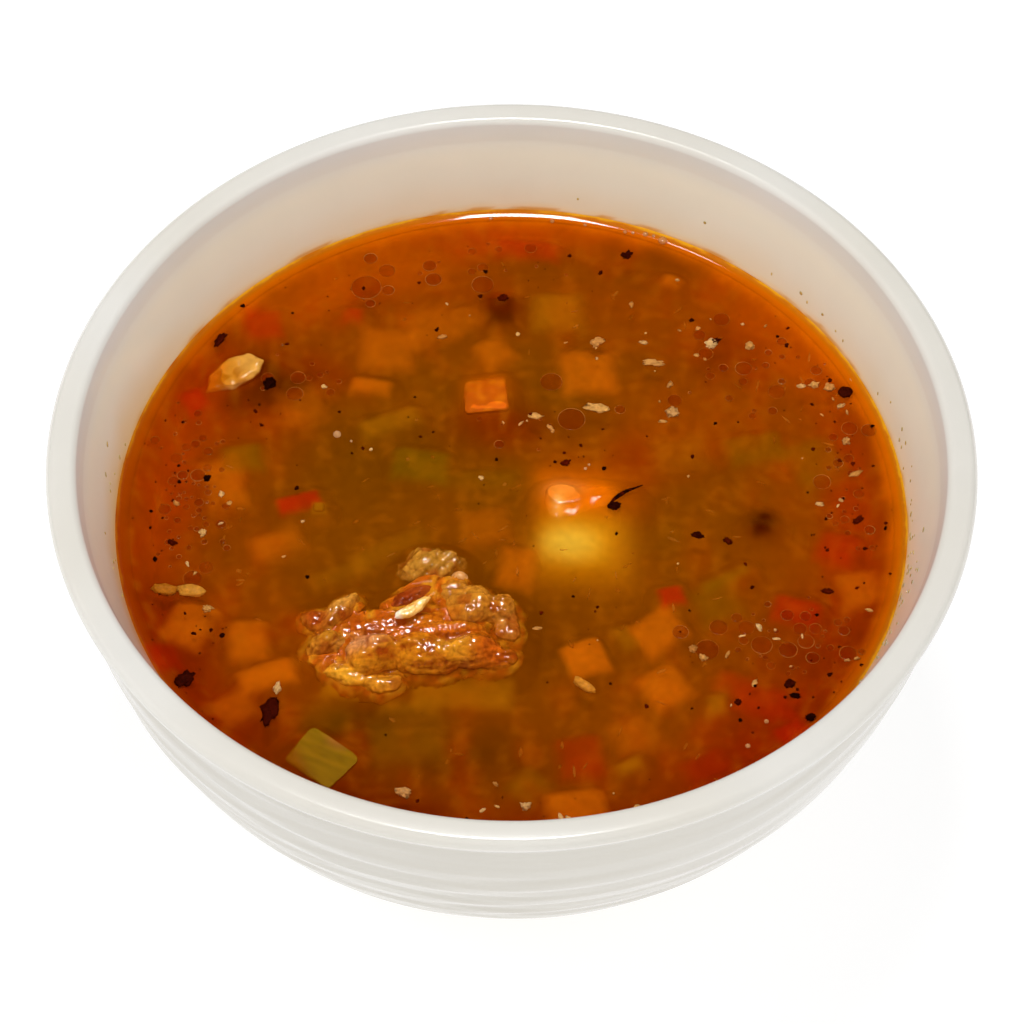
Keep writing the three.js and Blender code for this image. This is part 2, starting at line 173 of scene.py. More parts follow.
def linear(code):
    """The linear colour of a six-digit screen colour."""
    values = [int(code[i:i + 2], 16) / 255 for i in (0, 2, 4)]
    return np.array([v / 12.92 if v <= 0.04045 else ((v + 0.055) / 1.055) ** 2.4 for v in values])


def mix(a, b, share):
    """Mixes colours a and b, with one share for each point."""
    share = np.clip(np.asarray(share, float), 0, 1)[..., None]
    return np.asarray(a) * (1 - share) + np.asarray(b) * share


def ease(low, high, value):
    """Rises smoothly from 0 at low to 1 at high."""
    t = np.clip((np.asarray(value, float) - low) / (high - low), 0, 1)
    return t * t * (3 - 2 * t)


def grain(points, scale, seed=0):
    """Smooth noise from -1 to 1 at each point, for features of about one scale in millimetres."""
    shift = Vector((17.3 * seed, -9.1 * seed, 5.7 * seed))
    return np.array([noise.noise(Vector(p) / scale + shift) for p in points])


def paint(obj, colours):
    """Keeps a colour for each corner of the mesh under the name tint."""
    layer = obj.data.color_attributes.new("tint", "FLOAT_COLOR", "POINT")
    rgba = np.ones((len(obj.data.vertices), 4), dtype=np.float32)
    rgba[:, :3] = np.clip(colours, 0, 1)
    layer.data.foreach_set("color", rgba.ravel())


def painted_material(name, roughness, specular=0.5, coat=0.0, alpha=1.0, mottle=0.12, mottle_size=1.0,
                     bump=0.0, bump_size=0.4, rough_spread=0.0):
    """A finish whose colour is the painted tint, slightly mottled, with fine relief."""
    material = bpy.data.materials.new(name)
    material.use_nodes = True
    nodes = material.node_tree.nodes
    links = material.node_tree.links
    shader = nodes["Principled BSDF"]
    shader.inputs["Roughness"].default_value = roughness
    shader.inputs["Specular IOR Level"].default_value = specular
    shader.inputs["Coat Weight"].default_value = coat
    shader.inputs["Coat Roughness"].default_value = 0.06
    shader.inputs["Alpha"].default_value = alpha
    place = nodes.new("ShaderNodeTexCoord")
    tint = nodes.new("ShaderNodeAttribute")
    tint.attribute_name = "tint"
    cloud = nodes.new("ShaderNodeTexNoise")
    cloud.inputs["Scale"].default_value = 1 / (mottle_size * MM)
    cloud.inputs["Detail"].default_value = 4
    links.new(place.outputs["Object"], cloud.inputs["Vector"])
    shade = nodes.new("ShaderNodeMapRange")
    shade.inputs["From Min"].default_value = 0.3
    shade.inputs["From Max"].default_value = 0.7
    shade.inputs["To Min"].default_value = 1 - mottle
    shade.inputs["To Max"].default_value = 1 + mottle
    links.new(cloud.outputs["Fac"], shade.inputs["Value"])
    tone = nodes.new("ShaderNodeVectorMath")
    tone.operation = "SCALE"
    links.new(tint.outputs["Color"], tone.inputs[0])
    links.new(shade.outputs["Result"], tone.inputs["Scale"])
    links.new(tone.outputs["Vector"], shader.inputs["Base Color"])
    if rough_spread:
        spread = nodes.new("ShaderNodeMapRange")
        spread.inputs["To Min"].default_value = roughness - rough_spread
        spread.inputs["To Max"].default_value = roughness + rough_spread
        links.new(cloud.outputs["Fac"], spread.inputs["Value"])
        links.new(spread.outputs["Result"], shader.inputs["Roughness"])
    if bump:
        relief = nodes.new("ShaderNodeTexNoise")
        relief.inputs["Scale"].default_value = 1 / (bump_size * MM)
        relief.inputs["Detail"].default_value = 3
        links.new(place.outputs["Object"], relief.inputs["Vector"])
        bumps = nodes.new("ShaderNodeBump")
        bumps.inputs["Strength"].default_value = 1.0
        bumps.inputs["Distance"].default_value = bump * MM
        links.new(relief.outputs["Fac"], bumps.inputs["Height"])
        links.new(bumps.outputs["Normal"], shader.inputs["Normal"])
    return material


GLAZE = linear("e8e5de")
GLAZE_SHADED = linear("e3ded3")
OUTSIDE_SHADE = linear("d0cbc0")
INSIDE_LIGHT = linear("f8efd6")
STAIN = linear("f2d08a")
TIDE_HALO = linear("f0bc58")
TIDE_LINE = linear("e09410")
BARE_CLAY = linear("d9cdb8")


def lit_side(x, y, reach):
    """From 0 at the front left to 1 at the back right, where the light falls most: a share for painted
    light.
    """
    return ease(-0.7, 0.4, (0.5 * x + 0.87 * y) / reach)


def make_bowl():
    points, faces = lathe(bowl_outline(), BOWL_SEGMENTS)
    radius = np.hypot(points[:, 0], points[:, 1])
    angle = np.arctan2(points[:, 1], points[:, 0])
    z = points[:, 2]
    rib_foot = wall_z - WALL_ARC_RADIUS * math.sin(BELLY_START)
    rib_top = BOWL_HEIGHT - LIP_BAND - LIP_UNDERCUT
    wall_angle = np.arcsin(np.clip((wall_z - z) / WALL_ARC_RADIUS, -1, 1))
    outer_radius = wall_x + WALL_ARC_RADIUS * np.cos(wall_angle)
    outside = (z > rib_foot - RIBS_BELOW_BELLY) & (z < rib_top) & (radius > outer_radius - WALL / 2)
    wander = 1.3 * np.sin(3 * angle + 0.8) + 0.8 * np.sin(7 * angle + 2.1)
    strength = 0.65 + 0.35 * np.sin(2 * angle + z / 8)
    strength *= ease(rib_foot - RIBS_BELOW_BELLY, rib_foot + 3, z) * ease(rib_top, rib_top - 2, z)
    broken = grain(points * (1, 1, 2.5), 22, seed=2)
    ribs = RIB_HEIGHT * strength * (1 + broken) * np.sin(2 * math.pi * (z + wander) / RIB_PITCH)
    fine_wander = 0.9 * np.sin(5 * angle + 1.0) + 0.5 * np.sin(11 * angle)
    ribs += FINE_RIB_HEIGHT * strength * np.sin(2 * math.pi * (z + fine_wander) / FINE_RIB_PITCH)
    grown = np.where(outside, 1 + ribs / np.maximum(radius, 1), 1)
    points[:, 0] *= grown
    points[:, 1] *= grown
    bowl = make_object("glazed_bowl", points, faces)
    inside = radius < outer_radius - WALL / 2
    patch = grain(points, 30, seed=5)
    streak = grain(points * (1, 1, 0.25), 4, seed=6)
    runs = grain(points * (1, 1, 0.1), 7, seed=9)
    colours = mix(GLAZE, GLAZE_SHADED, 0.5 + patch)
    # Outside below the lip the glaze is painted greyer: a painted shade where the wall turns down, away
    # from the light.
    colours = mix(colours, OUTSIDE_SHADE, 0.8 * ease(BOWL_HEIGHT - 3, BOWL_HEIGHT - 7, z) * ~inside)
    # Inside, lower down, the glaze is painted lighter and warmer: painted light, standing in for the lamps
    # and the warm light the soup throws back.
    colours = mix(colours, INSIDE_LIGHT, 0.85 * inside * ease(BOWL_HEIGHT - 1, BOWL_HEIGHT - 7, z))
    # The stain is painted weaker, and the tide line higher and stronger, on the lit back right: painted
    # light over the real marks.
    lit_share = lit_side(np.cos(angle), np.sin(angle), 1)
    stained = inside * ease(SOUP_LINE + STAIN_HEIGHT, SOUP_LINE, z + 2.5 * patch + 1.5 * runs)
    colours = mix(colours, STAIN, (0.8 - 0.55 * lit_share) * stained)
    ragged = SOUP_LINE + TIDE_LINE_HEIGHT * (7 * runs + 3 * streak + 2 * lit_share)
    halo = inside * ease(ragged + TIDE_HALO_HEIGHT, ragged, z)
    colours = mix(colours, TIDE_HALO, 0.35 * halo)
    tide = inside * ease(ragged + 2 * TIDE_LINE_HEIGHT, ragged, z)
    colours = mix(colours, TIDE_LINE, (0.25 + 0.5 * lit_share) * tide)
    colours = mix(colours, BARE_CLAY, ease(CLAY_TOP, CLAY_TOP - CLAY_BLEND, z))
    paint(bowl, colours)
    return bowl


glaze = painted_material("white_glaze", roughness=0.2, specular=0.5, coat=0.25, mottle=0.012,
                         mottle_size=9, bump=0.02, bump_size=5)
bowl = make_bowl()
bowl.data.materials.append(glaze)
bowl.visible_glossy = False
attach(bowl, "root")
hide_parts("bowl")

# ---------------------------------------------------------------- diced vegetables sunk in the broth
# Carrot, sweet pepper, celery, potato and marrow, cut into dice and strips and boiled soft. They lie
# up to a few millimetres under the surface, and the cloudy broth veils them the more the deeper they lie.

# Each: x, y, length, width, height, turn in degrees, depth of its top, how clearly it shows.
CARROT = "eb7407"
carrots = [
    (13.1, 31.3, 8.8, 8.2, 6, 3, 1.6, 0.75), (-21.6, 36.2, 8.6, 8.0, 6, -2, 1.9, 0.6),
    (-3.2, 35.5, 4.8, 5.0, 5, 35, 1.8, 0.7), (12.1, -28.4, 6.4, 6.4, 6, 22, 0.5, 1.0),
    (23.9, -22.9, 7.8, 6.6, 6, 38, 1.0, 0.8), (24.8, -33.2, 6.8, 6.8, 6, 32, 1.4, 0.75),
    (-42.6, -25.0, 5.8, 7.0, 5, 4, 1.3, 0.7), (-38.9, -32.3, 8.8, 4.4, 4, 18, 0.6, 0.9),
    (-52.2, -21.9, 6.6, 8.4, 5, -22, 1.0, 0.75), (-48.3, 6.9, 5.8, 9.5, 5, 16, 1.5, 0.65),
    (57.0, -14.0, 5.6, 6.0, 4, 10, 1.6, 0.7), (-38.6, -5.4, 8.0, 4.2, 4, 22, 2.1, 0.5),
    (-4.2, -1.3, 7.2, 6.6, 5, 12, 2.4, 0.4), (0.8, -10.0, 5.0, 7.6, 5, -8, 1.8, 0.7),
    (10.5, -56.4, 8.8, 6.0, 4, 8, 0.9, 0.85), (-24.1, 26.9, 6.3, 2.6, 2, -12, 0.9, 0.75),
    (-36.0, 24.0, 7.0, 7.0, 5, 15, 2.4, 0.35), (-14.5, 41.5, 8.0, 7.0, 5, 20, 2.4, 0.45),
    (20.0, -42.0, 7.0, 6.0, 4, 25, 2.2, 0.4), (-44.0, -38.0, 5.6, 5.0, 4, 35, 1.6, 0.6),
    (27.6, 50.4, 2.6, 2.0, 2, -20, 0.7, 0.7), (-8.0, 43.0, 4.0, 4.0, 4, 20, 2.0, 0.4),
]
RED_PEPPER = "c91604"
red_peppers = [
    (-35.3, 2.1, 6.9, 3.0, 1.6, 20, 0.7, 1.0), (-43.1, 40.6, 5.8, 5.6, 2, 10, 1.3, 0.7),
    (-54.0, 23.4, 3.6, 4.4, 2, 30, 0.7, 0.8), (26.2, -16.2, 3.6, 3.2, 2, 15, 0.8, 1.0),
    (53.7, -5.9, 5.6, 5.6, 2, -20, 1.7, 0.6), (41.1, -36.2, 10.0, 5.0, 2, -12, 1.9, 0.6),
    (44.6, -42.3, 4.2, 2.6, 2, 32, 0.9, 0.9), (11.2, -46.4, 6.2, 6.8, 3, 8, 2.0, 0.5),
    (36.0, -32.6, 5.0, 3.6, 2, -20, 2.0, 0.45), (2.5, 57.6, 10.4, 3.6, 2, -6, 1.1, 0.55),
    (46.4, -18.8, 7.2, 4.6, 3, -16, 1.2, 0.75), (-27.6, 42.3, 2.8, 2.6, 2, 0, 0.8, 0.6),
    (-55.5, -29.5, 4.0, 5.0, 2, 25, 1.6, 0.5), (31.0, -48.5, 6.0, 4.0, 2, 30, 1.8, 0.4),
]
CELERY = "8a7002"
greens = [
    (-15.4, 10.6, 8.6, 5.8, 3, -6, 1.4, 0.46), (-45.3, 11.9, 6.2, 5.0, 3, 10, 1.5, 0.46),
    (41.0, 14.8, 8.8, 5.4, 3, 14, 1.6, 0.37), (51.4, 12.0, 8.2, 9.8, 3, 25, 2.0, 0.34),
    (35.2, -12.6, 7.8, 1.5, 1.2, 27, 1.0, 0.36), (34.0, -17.0, 7.0, 6.0, 2, 20, 2.2, 0.28),
    (-5.3, 8.2, 12.0, 2.8, 2.5, 4, 2.1, 0.16), (-29.4, -39.0, 8.0, 5.4, 3, 5, 2.6, 0.19),
    (3.0, -52.0, 5.0, 5.0, 3, 50, 1.8, 0.28), (24.0, -3.0, 9.0, 6.0, 4, 0, 3.0, 0.08),
]
PALE = "cc7e08"
pale_dice = [
    (7.8, 44.8, 8.2, 7.4, 6, 2, 2.0, 0.48), (-7.6, -35.3, 15.6, 4.2, 3, 1, 1.3, 0.56),
    (-25.6, -34.4, 8.2, 3.6, 3, -6, 0.9, 0.68), (-20.6, 19.4, 9.6, 3.2, 2.4, 24, 1.3, 0.48),
    (-16.0, -43.4, 11.0, 6.6, 4, 2, 2.5, 0.28), (-16.0, -38.0, 9.0, 2.0, 2, -2, 1.6, 0.4),
    (-20.0, -6.0, 13.0, 3.0, 2, 32, 2.2, 0.32), (-28.0, -11.5, 9.0, 2.4, 2, 20, 2.0, 0.28),
    (28.5, 14.0, 8.0, 6.0, 4, 10, 2.6, 0.28), (-31.9, 0.9, 1.9, 1.9, 1.2, 0, 0.4, 0.72),
    (18.9, -49.0, 3.6, 1.8, 1.2, 30, 0.8, 0.64), (18.6, -24.5, 4.0, 2.2, 1.5, -60, 1.2, 0.4),
    (33.0, -37.3, 2.4, 3.0, 2, 5, 0.8, 0.56),
]
DARK = "3c0400"
dark_bits = [
    (41.2, -2.0, 2.6, 3.0, 2, 20, 0.7, 1.0), (-2.0, 43.9, 4.0, 5.6, 2, 0, 0.9, 0.85),
    (42.0, -1.2, 2.0, 2.2, 1, 30, 0.6, 0.8),
]
SUNKEN_KINDS = [
    ("sunken_carrots", carrots, CARROT, "carrot"),
    ("sunken_peppers", red_peppers, RED_PEPPER, "carrot"),
    ("sunken_greens", greens, CELERY, "celery"),
    ("sunken_pale_dice", pale_dice, PALE, "potato"),
    ("sunken_dark_bits", dark_bits, DARK, "lean_meat"),
]

# The surface lies a little lower in the middle than the line that it draws on the wall.
SURFACE_DIP = 0.4
LEVEL = SOUP_LINE - SURFACE_DIP

# The broth's own colours from the middle to the wall.
BROTH_MIDDLE = linear("8a4600")
BROTH_OLIVE = linear("7c4600")
BROTH_WARM = linear("a44400")
BROTH_RED = linear("aa2e00")
BROTH_EDGE = linear("ec7000")
BROTH_RED_EDGE = linear("a83c00")
BROTH_MENISCUS = linear("c07408")
BROTH_WATERLINE = linear("eca416")
BROTH_WISP = linear("b66206")
BROAD_CLOUDS = 16
SMALL_CLOUDS = 5.5
FINE_CLOUDS = 2.2
soup_radius = inner_outline(0)[-1][0]


def cover(points, piece):
    """How much a sunken piece colours each point: 1 over it, and softer beside it the deeper it lies."""
    x, y, length, width, _, turn, depth, _ = piece
    c, s = math.cos(math.radians(turn)), math.sin(math.radians(turn))
    dx, dy = points[:, 0] - x, points[:, 1] - y
    u = np.abs(dx * c + dy * s) - length / 2
    v = np.abs(-dx * s + dy * c) - width / 2
    away = np.hypot(np.maximum(u, 0), np.maximum(v, 0)) + np.minimum(np.maximum(u, v), 0)
    spread = 0.45 + 0.7 * depth
    return ease(spread, -0.7 * spread, away)


# Soft zones where the oil or the broth is of another colour, and one painted shadow under the onion.
# Each: x, y, half length, half width, turn in degrees, colour, share.
ZONES = [
    (-4.6, 25.6, 5.0, 6.0, 3, "c05800", 0.85), (-2.0, 18.0, 9.5, 4.8, -3, "8c2400", 0.8),
    (-27.5, 47.4, 5.6, 3.4, 6, "901a00", 0.7), (-2.0, 44.2, 4.0, 4.8, 0, "701400", 0.6),
    (41.2, -2.0, 2.8, 3.0, 0, "480600", 0.95), (27.0, 12.0, 10, 5, 8, "962700", 0.5),
    (38.0, 36.0, 9, 7, 40, "992900", 0.5), (20.5, 11.0, 4.4, 6.0, 0, "a02400", 0.75),
    (-33.0, 30.0, 6, 4, -30, "962500", 0.55), (-57.5, 6.0, 6, 22, -4, "c43e00", 0.7),
    (-56.0, -26.0, 6, 14, 24, "9c1e00", 0.7), (-46.0, -41.0, 12, 7, -38, "981c00", 0.7),
    (57.0, 0.0, 5, 24, 4, "b83000", 0.65), (52.0, -26.0, 10, 14, -28, "9a2000", 0.6),
    (38.0, -46.0, 18, 7, 36, "a01c00", 0.75), (10.0, -60.0, 26, 4, 4, "942200", 0.7),
    (-22.0, -56.0, 20, 5, -16, "801c00", 0.8), (-18.0, 54.0, 26, 5, 14, "c04a00", 0.5),
    (12.0, 61.0, 26, 2.6, -6, "cc5000", 0.6), (-41.0, 28.5, 7, 6, 30, "4c2000", 0.85),
    (-10.0, -47.0, 26, 8, 0, "663000", 0.5), (-16.0, 23.0, 5, 4, 0, "a04c00", 0.5),
    (-52.0, -27.0, 6, 6, 0, "8a2400", 0.5), (28.0, 20.0, 14, 7, 0, "b84c00", 0.5),
    (10.0, 53.0, 24, 3.5, -4, "824000", 0.5), (50.0, 35.0, 20, 6, -48, "d45600", 0.6),
    (-50.0, 30.0, 6, 18, 38, "b03200", 0.55), (-22.0, 12.0, 16, 9, 0, "744000", 0.5),
    (-22.0, -42.5, 11, 5, 0, "5c2e00", 0.8), (-9.0, -46.5, 10, 4.5, 0, "6c3400", 0.6),
    (30.0, 2.0, 12, 8, 0, "7e4400", 0.4), (11.0, 12.0, 8.0, 4.5, 0, "b44a00", 0.6),
    (20.5, 6.0, 3.5, 10, 0, "a03800", 0.45), (14.0, -6.0, 26, 26, 0, "a84a00", 0.4),
    (-30.0, 50.0, 20, 6, 28, "cc5a00", 0.65), (14.0, -15.5, 10, 3.5, 0, "904c00", 0.4),
    # The first zone on this row is the onion's painted shadow on the broth.
    (-45.5, 23.8, 5.4, 2.4, 18, "682a00", 0.85), (-53.0, 23.0, 4, 9, 30, "b83400", 0.5),
    (-4.0, 60.0, 10, 3, 0, "c63e04", 0.5), (-9.0, -24.0, 20, 11, 4, "743200", 0.55),
]


def zone_share(points, zone):
    """How strongly a soft zone covers each point."""
    x, y, half_length, half_width, turn = zone[:5]
    c, s = math.cos(math.radians(turn)), math.sin(math.radians(turn))
    dx, dy = points[:, 0] - x, points[:, 1] - y
    u = (dx * c + dy * s) / half_length
    v = (-dx * s + dy * c) / half_width
    return zone[6] * np.exp(-(u * u + v * v) ** 1.3)


def open_broth(points):
    """The broth's colour at each point without the vegetables in it."""
    radius = np.hypot(points[:, 0], points[:, 1])
    flat = points * (1, 1, 0)
    broad = grain(flat, BROAD_CLOUDS, seed=1)
    small = grain(flat, SMALL_CLOUDS, seed=3)
    fine = grain(flat, FINE_CLOUDS, seed=7)
    colours = mix(BROTH_MIDDLE, BROTH_OLIVE, ease(-0.35, 0.5, broad + 0.4 * small))
    warm = ease(22, 56, radius + 10 * broad + 4 * small)
    colours = mix(colours, BROTH_WARM, 0.8 * warm)
    for zone in ZONES:
        colours = mix(colours, linear(zone[5]), zone_share(flat + 1.2 * small[:, None], zone))
    colours = mix(colours, BROTH_RED, 0.35 * warm * ease(0.0, 0.5, small))
    colours = mix(colours, BROTH_WISP, 0.3 * ease(0.1, 0.5, fine + 0.5 * small))
    colours = colours * (1 + 0.14 * small + 0.12 * fine)[:, None]
    # At the wall the broth is painted bright orange with a yellow line on the lit back right, and redder on
    # the shaded front left: painted light over the oil's own colour.
    lit_share = lit_side(points[:, 0], points[:, 1], soup_radius)
    edge = ease(soup_radius - 2.4 - 2.2 * lit_share, soup_radius - 0.8, radius + 0.9 * small)
    colours = mix(colours, mix(BROTH_RED_EDGE, BROTH_EDGE, lit_share), 0.8 * edge)
    climbing = ease(soup_radius - 1.5, soup_radius - 0.5, radius)
    colours = mix(colours, mix(BROTH_RED_EDGE, BROTH_MENISCUS, lit_share), 0.6 * climbing)
    line = ease(soup_radius - 0.5, soup_radius - 0.15, radius + 0.3 * fine)
    return mix(colours, BROTH_WATERLINE, line * (0.2 + 0.8 * lit_share) * ease(-0.5, 0.2, small))


# The potato chunk shows through the broth: its place as above, and soft patches of its own colours.
POTATO_PLACE = (11.9, -1.8, 16.0, 22.0, 8, -3, 5.0, 1.0)
POTATO_PATCHES = [
    (11.0, 10.5, 9.0, 4.0, -3, "dc5c00", 0.9), (10.5, 4.6, 9.0, 5.6, -5, "ff7c00", 0.95),
    (8.6, 4.8, 3.6, 2.4, 0, "f48c30", 0.8), (19.5, 3.5, 3.0, 7.0, 0, "b04c00", 0.7),
    (11.4, -5.6, 7.8, 4.6, -2, "ffb010", 0.97), (9.6, -5.6, 4.6, 2.8, 0, "ffd040", 0.8),
    (19.0, -7.0, 3.6, 4.8, 0, "cc7808", 0.8), (11.6, -11.5, 8.0, 2.4, 0, "c87400", 0.8),
    (7.8, 1.2, 1.2, 2.2, 0, "ffb040", 0.8),
]


def potato_tone(points):
    """The potato's own colour at each point, as it looks through the broth."""
    own = np.tile(linear("bc6404"), (len(points), 1))
    for patch in POTATO_PATCHES:
        own = mix(own, linear(patch[5]), zone_share(points, patch))
    return own * (1 + 0.1 * grain(points, 1.6, seed=83))[:, None]


def broth(points):
    """The broth's colour at each point, warmed over and round each sunken piece."""
    colours = open_broth(points)
    colours = mix(colours, potato_tone(points), 0.95 * cover(points, POTATO_PLACE))
    shade = (1 + 0.16 * grain(points * (1, 1, 0), FINE_CLOUDS, seed=8))[:, None]
    for _, kind, code, _ in SUNKEN_KINDS:
        for piece in kind:
            colours = mix(colours, linear(code) * shade, cover(points, piece) * piece[7])
    return colours


def normals(obj):
    """The direction that the mesh faces at each corner."""
    out = np.empty(len(obj.data.vertices) * 3)
    obj.data.vertex_normals.foreach_get("vector", out)
    return out.reshape(-1, 3)


def places(obj):
    """The corners of the mesh in millimetres."""
    out = np.empty(len(obj.data.vertices) * 3)
    obj.data.vertices.foreach_get("co", out)
    return out.reshape(-1, 3) / MM


def rounded_block(steps=11):
    """The corners of a cube from -1 to 1 with a grid on each face, shared at its edges, and the faces."""
    index, points, faces = {}, [], []

    def corner(p):
        key = tuple(round(v, 5) for v in p)
        if key not in index:
            index[key] = len(points)
            points.append(p)
        return index[key]

    for axis in range(3):
        for side in (-1, 1):
            for i in range(steps):
                for j in range(steps):
                    ring = []
                    for a, b in ((i, j), (i + 1, j), (i + 1, j + 1), (i, j + 1)):
                        p = [0.0, 0.0, 0.0]
                        p[axis] = float(side)
                        p[(axis + 1) % 3] = 2 * a / steps - 1
                        p[(axis + 2) % 3] = 2 * b / steps - 1
                        ring.append(corner(p))
                    faces.append(ring if side > 0 else ring[::-1])
    return np.array(points), faces


DICE_ROUND = 0.34
DICE_SWELL = 0.096
DICE_TILT = 7


def soft_dice(piece, seed):
    """A boiled dice or strip with rounded corners: its corners and faces."""
    x, y, length, width, height, turn, depth, _ = piece
    points, faces = rounded_block()
    half = np.array([length, width, height]) / 2
    corner_radius = DICE_ROUND * min(length, width, height * 1.6)
    core = np.maximum(half - corner_radius, 0.05)
    inner = np.clip(points * half * 1.02, -core, core)
    outwards = points * half - inner
    size = np.linalg.norm(outwards, axis=1, keepdims=True)
    points = inner + outwards / np.maximum(size, 1e-6) * corner_radius
    swell = grain(points, 2.6, seed)
    points *= 1 + DICE_SWELL * swell[:, None]
    rng = random.Random(seed)
    tilt = Matrix.Rotation(math.radians(rng.uniform(-DICE_TILT, DICE_TILT)), 3, "X")
    roll = Matrix.Rotation(math.radians(rng.uniform(-DICE_TILT, DICE_TILT)), 3, "Y")
    spin = Matrix.Rotation(math.radians(turn), 3, "Z")
    points = points @ np.array(spin @ tilt @ roll).T
    points += (x, y, LEVEL - depth - points[:, 2].max())
    return points, faces


def joined(bodies):
    """Several closed bodies as one list of corners and faces."""
    points, faces, count = [], [], 0
    for body_points, body_faces in bodies:
        points.append(np.asarray(body_points, float))
        faces += [[i + count for i in face] for face in body_faces]
        count += len(body_points)
    return np.concatenate(points), faces


sunken_material = painted_material("vegetables_in_broth", roughness=0.9, specular=0.0, mottle=0.07,
                                   mottle_size=1.6)
sunken = []
for name, kind, code, slot in SUNKEN_KINDS:
    obj = make_object(name, *joined([soft_dice(piece, seed) for seed, piece in enumerate(kind)]))
    points = places(obj)
    sides = ease(0.5, 0.95, normals(obj)[:, 2])
    paint(obj, mix(open_broth(points) * 0.9, broth(points), 0.75 + 0.25 * sides))
    obj.data.materials.append(sunken_material)
    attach(obj, "root")
    sunken.append(obj)

# ---------------------------------------------------------------- the stewed meat
# Braised meat, torn along its fibres: a long chunk in front, a spongy lobe behind it, a bent finger
# on the left, a lean strip between them and a wrinkled piece behind. All are wet with broth and oil,
# and dark lean meat joins them just under the surface.


def dressed_copy(nodes, name, voxel, smoothing):
    """A finer, rounder copy of one or more plain solids, with its modifiers applied."""
    bodies = []
    for node in nodes:
        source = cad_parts[node]
        bodies.append((places(source), [list(face.vertices) for face in source.data.polygons]))
    obj = make_object(name, *joined(bodies))
    remesh = obj.modifiers.new("remesh", "REMESH")
    remesh.mode = "VOXEL"
    remesh.voxel_size = voxel * MM
    remesh.use_smooth_shade = True
    smooth = obj.modifiers.new("smooth", "SMOOTH")
    smooth.factor = 0.5
    smooth.iterations = smoothing
    bpy.context.view_layer.update()
    evaluated = obj.evaluated_get(bpy.context.evaluated_depsgraph_get())
    mesh = bpy.data.meshes.new_from_object(evaluated)
    obj.modifiers.clear()
    obj.data = mesh
    obj.data.materials.clear()
    for polygon in obj.data.polygons:
        polygon.use_smooth = True
    return obj


def move_to(obj, points):
    """Moves the corners of the mesh to places in millimetres."""
    obj.data.vertices.foreach_set("co", (points * MM).ravel())
    obj.data.update()


def push(obj, amounts):
    """Moves each corner outwards by an amount in millimetres."""
    move_to(obj, places(obj) + normals(obj) * np.asarray(amounts)[:, None])


def fibres(points, turn, width, length, seed):
    """Noise drawn out along the fibres' direction."""
    c, s = math.cos(math.radians(turn)), math.sin(math.radians(turn))
    u = points[:, 0] * c + points[:, 1] * s
    v = -points[:, 0] * s + points[:, 1] * c
    bent = v + 0.6 * np.sin(u / 3.1 + seed)
    return grain(np.stack([u / length, bent / width, points[:, 2] / width], axis=1), 1, seed)


def creases(points, seed):
    """1 along thin crooked creases, 0 between them."""
    return ease(0.12, 0.0, np.abs(grain(points, 1.9, seed)))


# Each: node, fibre turn, fibre width, fibre depth, lumps, pits, colours of ridges and hollows, slot.
MEATS = [
    ("meat_chunk", 6, 0.8, 0.18, 0.5, 0.1, "c47410", "944006", "meat"),
    ("meat_lobe", -10, 0.9, 0.13, 0.45, 0.14, "bc741c", "94500c", "meat"),
    ("meat_nugget", 52, 0.7, 0.16, 0.5, 0.16, "b87418", "8c4408", "meat"),
    ("meat_shred", 32, 0.8, 0.12, 0.25, 0.06, "984010", "742608", "lean_meat"),
    ("meat_back", 42, 0.9, 0.24, 0.35, 0.1, "b47824", "84500c", "meat"),
]
MEAT_VOXEL = 0.22
CRUMB_HEIGHT = 0.11
CREASE_DEPTH = 0.12
SWELLING = 0.12
RED_LEAN = linear("8a2c04")
CREASE_SHADE = linear("7c2c04")
SOAKED_SIDE = linear("a85408")
# Soft patches on the meat: x, y, half length, half width, turn in degrees, colour, share.
MEAT_PATCHES = [
    (-23.3, -27.6, 3.4, 2.0, 20, "d08c58", 0.8), (0.0, -27.5, 5.0, 6.0, 0, "8c3c06", 0.8),
    (-10.0, -25.4, 8.5, 1.5, 6, "c05808", 0.85), (-17.0, -25.2, 4.4, 1.6, 10, "c05e0c", 0.8),
    (-9.4, -29.0, 3.4, 1.9, -6, "d89020", 0.7), (-3.6, -29.0, 2.6, 2.2, 20, "c2540c", 0.8),
    (-7.0, -32.6, 5.0, 1.3, 8, "93300a", 0.8), (-27.0, -33.6, 4.0, 2.0, -12, "dc9824", 0.85),
    (-18.5, -34.4, 4.6, 1.6, 4, "d88c20", 0.8), (-7.2, -33.4, 1.2, 1.6, 0, "d09050", 0.8),
    (-19.5, -23.2, 3.6, 2.4, 0, "aa4408", 0.8), (-12.0, -22.4, 4.0, 1.2, 8, "b85808", 0.8),
    (-25.0, -23.4, 2.6, 2.6, 0, "a84008", 0.8), (-6.4, -18.0, 4.2, 2.0, 0, "c88424", 0.6),
    (-0.4, -23.4, 2.0, 2.4, 0, "b87424", 0.8), (-10.2, -17.4, 2.4, 1.8, 30, "c07c24", 0.6),
    (-31.6, -22.4, 2.0, 3.0, 40, "983208", 0.85), (-27.4, -20.4, 3.0, 1.0, 52, "d8943c", 0.7),
    (-30.6, -29.4, 2.6, 1.4, 10, "c0701c", 0.6),
]
meat_material = painted_material("wet_stewed_meat", roughness=0.08, specular=0.3, mottle=0.2,
                                 mottle_size=0.7, bump=0.035, bump_size=0.5, rough_spread=0.02)
lean_material = painted_material("wet_lean_meat", roughness=0.14, specular=0.04, mottle=0.2,
                                 mottle_size=0.7, bump=0.04, bump_size=0.5, rough_spread=0.05)
garnish = []
